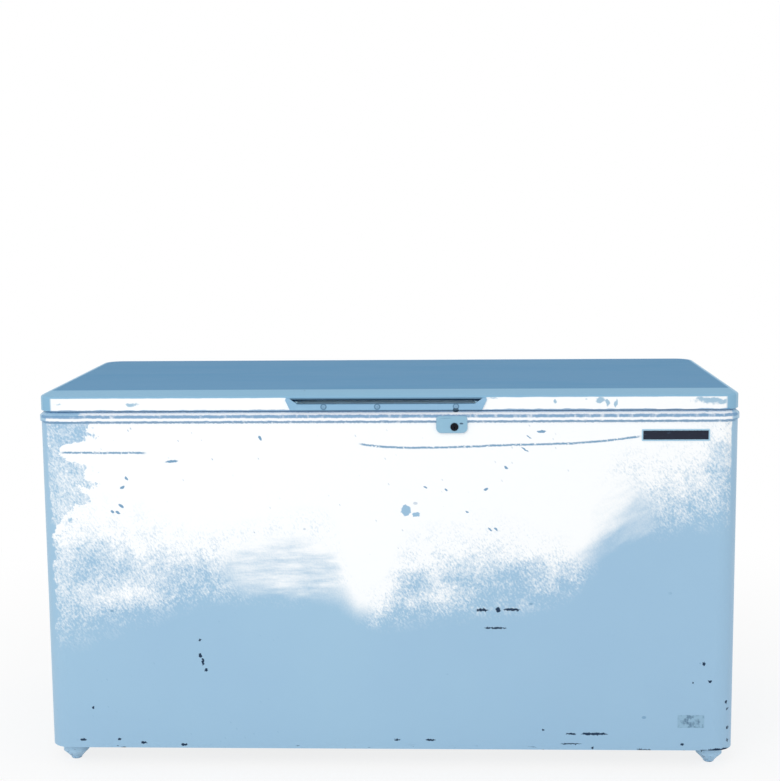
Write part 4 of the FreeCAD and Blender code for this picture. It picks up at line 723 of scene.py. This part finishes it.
def knobPlastic():  # dark moulding with a pale pointer, so that its turn shows
    finish = Finish("knob_plastic")
    given = knobPaint
    low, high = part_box("thermostat_knob")
    middle = (low + high) / 2
    half = given["pointerHalf"]
    grain = finish.noise(300.0, 2.0)
    rub = finish.patches(0.48, 0.72, 90.0, 4.0, 0.6)
    pointer = finish.x.span(middle.x - half, middle.x + half, given["pointerSoft"])
    pointer = pointer * finish.z.rise(*given["pointerStart"], middle.z)
    pointer = pointer * finish.y.rise(*given["crown"], high.y)
    colour = finish.layers(given["dark"], (rub * 0.5, given["rubbed"]), (pointer, given["pointer"]))
    return finish.done(colour, 0.42 + grain * 0.1, grain * 0.4, specular=0.3)


nodeFinishes = {
    frontEnamel: ["cabinet_wrapper"],
    rearEnamel: ["back_panel"],
    lidEnamel: ["lid_skin"],
    collarPlastic: ["top_collar"],
    handlePlastic: ["lid_handle"],
    lockPlate: ["lock_escutcheon"],
    footEnamel: ["foot_front_left", "foot_front_right", "foot_rear_left", "foot_rear_right"],
    tubAluminium: ["inner_liner"],
    foamFinish: ["foam_body", "lid_foam"],
    copperFinish: ["evaporator_coil", "condenser_coil", "discharge_pipe", "suction_pipe", "drier_feed_pipe",
                   "capillary_tube", "filter_drier"],
    keyFinish: ["lock_key_barrel"],
    knobPlastic: ["thermostat_knob"],
    lambda: metalFinish("galvanised_sheet", tint(176, 190, 200), 60.0, 0.38): [
        "base_pan", "bay_panel", "lock_case"],
    lambda: metalFinish("zinc_plate", tint(188, 198, 206), 180.0, 0.3): [
        "hinge_bracket_left", "hinge_bracket_right", "hinge_leaf_left", "hinge_leaf_right",
        "hinge_pin_left", "hinge_pin_right", "hinge_spring_left", "hinge_spring_right",
        "lock_hook", "lock_nut", "compressor_studs"],
    lambda: plainPlastic("panel_plastic", tint(222, 234, 242), tint(204, 220, 232), 0.36, 90.0): [
        "lid_inner_panel"],
    lambda: plainPlastic("seal_rubber", tint(110, 136, 156), tint(134, 160, 178), 0.6, 260.0): ["lid_gasket"],
    # the lock striker wears the dark plastic as painted shade seen through the notch
    lambda: plainPlastic("dark_plastic", tint(34, 48, 66), tint(66, 84, 104), 0.48): [
        "lock_striker", "rear_grille", "start_relay_box", "thermostat", "cord_inlet", "hinge_plunger_left",
        "hinge_plunger_right"],
    lambda: plainPlastic("black_rubber", tint(26, 30, 36), tint(54, 60, 68), 0.75): ["compressor_grommets"],
    lambda: plainPlastic("compressor_paint", tint(24, 26, 30), tint(60, 62, 66), 0.36, 160.0): ["compressor"],
}
for makeFinish, names in nodeFinishes.items():
    material = makeFinish()
    for name in names:
        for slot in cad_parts[name].material_slots:
            slot.material = material
print("finishes on", sum(len(names) for names in nodeFinishes.values()), "nodes")


def newObject(name, data):
    made = bpy.data.objects.new(name, data)
    scene.collection.objects.link(made)
    return made


def meshPiece(name, build, material, body):  # a piece from one bmesh function
    mesh = bpy.data.meshes.new(name)
    shape = bmesh.new()
    build(shape)
    bmesh.ops.recalc_face_normals(shape, faces=shape.faces)
    shape.to_mesh(mesh)
    shape.free()
    mesh.materials.append(material)
    piece = newObject(name, mesh)
    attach(piece, body)


def plateRing(given, inset, radius, y, steps=6):  # a rounded rectangle within the plate's edge
    (x0, x1), (z0, z1) = given["x"], given["z"]
    reach = inset + radius
    left, right, low, high = x0 + reach, x1 - reach, z0 + reach, z1 - reach
    points = []
    for quarter, (cx, cz) in enumerate(((right, low), (right, high), (left, high), (left, low))):
        for step in range(steps + 1):
            angle = math.pi / 2 * (quarter - 1 + step / steps)
            points.append((cx + radius * math.cos(angle), y, cz + radius * math.sin(angle)))
    return points


def platedRings(shape, rings):  # joins outlines into a closed skin
    loops = [[shape.verts.new(point) for point in ring] for ring in rings]
    for near, far in zip(loops, loops[1:]):
        for a in range(len(near)):
            b = (a + 1) % len(near)
            shape.faces.new((near[a], near[b], far[b], far[a]))
    shape.faces.new(loops[0])
    shape.faces.new(loops[-1])


badge = {
    "x": (0.596, 0.754), "z": (0.796, 0.824), "thick": 0.0012, "rim": 0.0028, "recess": 0.0005,
    "radius": 0.003, "edge": 0.0004,
    "rimBlue": tint(166, 204, 226), "dark": tint(20, 28, 48), "worn": tint(70, 98, 126),
}


def badgeFinish():
    finish = Finish("bare_badge_plate")
    (x0, x1), (z0, z1) = badge["x"], badge["z"]
    rim, soft = badge["rim"] + 0.0006, 0.0004
    ragged = finish.ripple(380.0) * 0.0012
    inside = (finish.x + ragged).span(x0 + rim, x1 - rim, soft)
    inside = inside * (finish.z + ragged).span(z0 + rim, z1 - rim, soft)
    wear = finish.patches(0.56, 0.74, 130.0, 4.0, 0.6, stretch=(0.4, 1, 1.5))
    dark = finish.blend(wear * 0.5, badge["dark"], badge["worn"])
    colour = finish.blend(inside, badge["rimBlue"], dark)
    brushed = finish.noise(260.0, 2.0, stretch=(0.1, 1, 3))
    return finish.done(colour, 0.36 + brushed * 0.15, brushed * 0.3, relief=0.0002, specular=0.3)


def buildBadge(shape):
    back = skinLow.y
    front = back - badge["thick"]
    rim, radius, edge = badge["rim"], badge["radius"], badge["edge"]

    def ring(inset, y):
        return plateRing(badge, inset, radius - min(inset, radius * 0.7), y)

    platedRings(shape, [ring(0, back), ring(0, front + edge), ring(edge, front), ring(rim, front),
                        ring(rim + edge, front + badge["recess"])])


meshPiece("badge_plate", buildBadge, badgeFinish(), "cabinet")

sticker = {
    "x": (0.69, 0.753), "z": (0.101, 0.133), "thick": 0.00025, "radius": 0.002, "edge": 0.0003,
    "blue": tint(148, 184, 208), "mottle": tint(96, 128, 154), "middle": tint(74, 104, 132),
}


def stickerFinish():
    finish = Finish("worn_sticker")
    (x0, x1), (z0, z1) = sticker["x"], sticker["z"]
    blocks = finish.node("ShaderNodeTexVoronoi", {"distance": "CHEBYCHEV"}, {
        "Vector": finish.moved(stretch=(1.0, 0.0, 0.55)), "Scale": 210.0}, "Color")
    tone = finish.node("ShaderNodeSeparateColor", sockets={0: blocks})
    worn = finish.patches(0.42, 0.62, 120.0, 4.0, 0.65)
    middle = finish.spot((x0 + x1) / 2, (z0 + z1) / 2, (x1 - x0) * 0.42, (z1 - z0) * 0.55).rise(0.05, 0.35)
    colour = finish.layers(sticker["blue"], (tone.rise(0.35, 0.75) * worn * 0.65, sticker["mottle"]),
                           (middle * worn * 0.55, sticker["middle"]))
    return finish.done(colour, 0.6, worn * 0.4, relief=0.0002, specular=0.2)


def buildSticker(shape):
    back, thick, radius = skinLow.y, sticker["thick"], sticker["radius"]
    rings = ((0, back), (0, back - thick * 0.7), (sticker["edge"], back - thick))
    platedRings(shape, [plateRing(sticker, inset, radius, y) for inset, y in rings])


meshPiece("bare_sticker", buildSticker, stickerFinish(), "cabinet")
print("badge and sticker places: bare plates")


def screwTree():  # pan-head screws with a cross recess, one on each point
    tree = bpy.data.node_groups.new("crossScrews", "GeometryNodeTree")
    kinds = {"Geometry": "Geometry", "Finish": "Material"}
    labels = ("Geometry", "Head Radius", "Head Height", "Shank Radius", "Shank Length", "Recess Length",
              "Recess Width", "Recess Depth", "Lean", "Finish")
    for label in labels:
        kind = "NodeSocket" + kinds.get(label, "Float")
        tree.interface.new_socket(label, in_out="INPUT", socket_type=kind)
    tree.interface.new_socket("Geometry", in_out="OUTPUT", socket_type="NodeSocketGeometry")
    graph = Graph(tree)
    given = graph.node("NodeGroupInput")
    (points, radius, height, shankRadius, shankLength, length, width, depth, lean,
     paint) = (given.other(label) for label in labels)

    def raised(mesh, up):
        move = graph.vector(0.0, 0.0, up)
        return graph.node("GeometryNodeTransform", sockets={0: mesh, "Translation": move})

    def cube(x, y, z):
        return graph.node("GeometryNodeMeshCube", sockets={"Size": graph.vector(x, y, z)})

    ball = graph.node("GeometryNodeMeshUVSphere", sockets={"Segments": 32, "Rings": 16, "Radius": 1.0})
    dome = graph.node("GeometryNodeTransform", sockets={
        0: ball, "Scale": graph.vector(radius, radius, height)})
    under = raised(cube(radius * 3.0, radius * 3.0, height * 2.0), height * -1.0)
    arms = [raised(cube(x, y, depth * 2.0), height) for x, y in ((length, width), (width, length))]
    head = graph.node("GeometryNodeMeshBoolean", {"operation": "DIFFERENCE", "solver": "EXACT"}, {
        0: dome, 1: [under] + arms})
    shank = graph.node("GeometryNodeMeshCylinder", sockets={
        "Vertices": 20, "Radius": shankRadius, "Depth": shankLength})
    screw = graph.node("GeometryNodeJoinGeometry", sockets={0: [raised(shank, shankLength * -0.5), head]})
    places = graph.node("GeometryNodeMeshToPoints", sockets={0: points})
    turn = graph.node("FunctionNodeRandomValue", {"data_type": "FLOAT"}, {2: 0.0, 3: math.pi, "Seed": 7}, 1)
    aim = graph.node("FunctionNodeRotateEuler", {"space": "LOCAL"}, {
        0: graph.vector(lean, 0.0, 0.0), "Rotate By": graph.vector(0.0, 0.0, turn)})
    placed = graph.node("GeometryNodeInstanceOnPoints", sockets={
        0: places, "Instance": screw, "Rotation": aim})
    real = graph.node("GeometryNodeRealizeInstances", sockets={0: placed})
    dressed = graph.node("GeometryNodeSetMaterial", sockets={0: real, "Material": paint})
    graph.node("NodeGroupOutput", sockets={0: dressed})
    return tree


screwSets = {
    "handle_screw_heads": dict(node="handle_screws", body="lid", front=True, recess=0.6,
                               paint=tint(140, 180, 208)),
    "leaf_screw_heads": dict(node="leaf_screws", body="lid"),
    "bracket_screw_heads": dict(node="bracket_screws", body="cabinet"),
    "grille_screw_heads": dict(node="grille_screws", body="cabinet"),
}
screwShares = {"height": 0.45, "shank": 0.5, "recessWidth": 0.26, "recessDepth": 0.5}  # of radius or height


def screwFinish(name, paint):
    if paint is None:
        return metalFinish(name, tint(170, 180, 190), 700.0, 0.3)
    finish = Finish(name)
    wear = finish.patches(0.45, 0.65, 600.0)
    colour = finish.blend(wear * 0.5, paint, tint(98, 136, 166))
    return finish.done(colour, 0.4, wear * 0.3, relief=0.0002, specular=0.3)


def screwSet(name, tree, node, body, front=False, recess=0.62, paint=None):
    boxes = solidBoxes(node)
    radius = (boxes[0][1].x - boxes[0][0].x) / 2
    depth = boxes[0][1].y - boxes[0][0].y
    height = radius * screwShares["height"]
    mesh = bpy.data.meshes.new(name)
    sign = -1 if front else 1
    tips = [low.y if front else high.y for low, high in boxes]
    mesh.from_pydata([((low.x + high.x) / 2, tip - sign * height, (low.z + high.z) / 2)
                      for (low, high), tip in zip(boxes, tips)], [], [])
    piece = newObject(name, mesh)
    modifier = piece.modifiers.new("screws", "NODES")
    modifier.node_group = tree
    values = {
        "Head Radius": radius, "Head Height": height, "Shank Radius": radius * screwShares["shank"],
        "Shank Length": depth - height, "Recess Length": radius * 2 * recess,
        "Recess Width": radius * screwShares["recessWidth"],
        "Recess Depth": height * screwShares["recessDepth"], "Lean": -sign * math.pi / 2,
        "Finish": screwFinish(name, paint)}
    for item in tree.interface.items_tree:
        if item.name in values:
            modifier[item.identifier] = values[item.name]
    bpy.context.view_layer.update()
    done = bpy.data.meshes.new_from_object(piece.evaluated_get(bpy.context.evaluated_depsgraph_get()))
    piece.modifiers.remove(modifier)
    piece.data = done
    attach(piece, body)
    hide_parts(node)
    return piece


crossScrews = screwTree()
for name, given in screwSets.items():
    piece = screwSet(name, crossScrews, **given)
    print(name, len(piece.data.polygons), "faces")

stage = {
    "floorSize": 40.0, "floorWhite": 0.92, "cameraShare": 0.8, "fade": (0.9, 2.4), "worldLight": 0.84,
    "keyPlace": (-1.4, -4.2, 3.4), "keySize": 2.8, "keyPower": 54.0, "keyAim": (0.0, 0.0, 0.45),
}


def whiteWorld():  # lights the part less brightly than the camera sees it
    world = bpy.data.worlds.new("studio")
    scene.world = world
    world.use_nodes = True
    graph = Graph(world.node_tree)
    light, shown = (graph.node("ShaderNodeBackground", sockets={"Color": (1, 1, 1, 1), "Strength": strength})
                    for strength in (stage["worldLight"], 1.0))
    both = graph.node("ShaderNodeMixShader", sockets={0: graph.seen(), 1: light, 2: shown})
    graph.node("ShaderNodeOutputWorld", sockets={"Surface": both})


def whiteFloor():  # keeps the part's shadow and fades to plain white
    half = stage["floorSize"] / 2
    mesh = bpy.data.meshes.new("floor")
    corners = [(-half, -half, 0), (half, -half, 0), (half, half, 0), (-half, half, 0)]
    mesh.from_pydata(corners, [], [(0, 1, 2, 3)])
    floor = newObject("floor", mesh)
    finish = Finish("floor_white")
    level = stage["floorWhite"]
    matte = finish.node("ShaderNodeBsdfDiffuse", sockets={"Color": (level, level, level, 1)})
    glow = finish.node("ShaderNodeEmission")
    away = finish.node("ShaderNodeVectorMath", {"operation": "LENGTH"}, {0: finish.place}, "Value")
    share = finish.seen() * (stage["cameraShare"] + away.rise(*stage["fade"]) * (1 - stage["cameraShare"]))
    both = finish.node("ShaderNodeMixShader", sockets={0: share, 1: matte, 2: glow})
    finish.node("ShaderNodeOutputMaterial", sockets={"Surface": both})
    mesh.materials.append(finish.material)


def keyLight():
    lamp = bpy.data.lights.new("key", "AREA")
    lamp.size = stage["keySize"]
    lamp.energy = stage["keyPower"]
    key = newObject("key", lamp)
    key.location = stage["keyPlace"]
    key.rotation_euler = (Vector(stage["keyAim"]) - key.location).to_track_quat("-Z", "Y").to_euler()


eye = {  # the photo's camera: metres, degrees and millimetres
    "place": (0.1457, -3.8176, 1.3756), "yaw": -2.2593, "pitch": 7.5931, "roll": -0.5326,
    "lens": 68.5, "sensor": 36.0, "reach": 200,
}


def photoCamera():
    lens = bpy.data.cameras.new("photo_eye")
    lens.lens = eye["lens"]
    lens.sensor_width = eye["sensor"]
    lens.sensor_fit = "AUTO"
    lens.clip_end = eye["reach"]
    camera = newObject("photo_eye", lens)
    turn = Matrix.Rotation(math.radians(-eye["yaw"]), 4, "Z")
    turn = turn @ Matrix.Rotation(math.radians(90 - eye["pitch"]), 4, "X")
    turn = turn @ Matrix.Rotation(math.radians(eye["roll"]), 4, "Z")
    camera.matrix_world = Matrix.Translation(eye["place"]) @ turn
    scene.camera = camera


whiteWorld()
whiteFloor()
keyLight()
scene.view_settings.view_transform = "Standard"
photoCamera()
print("studio and camera set")
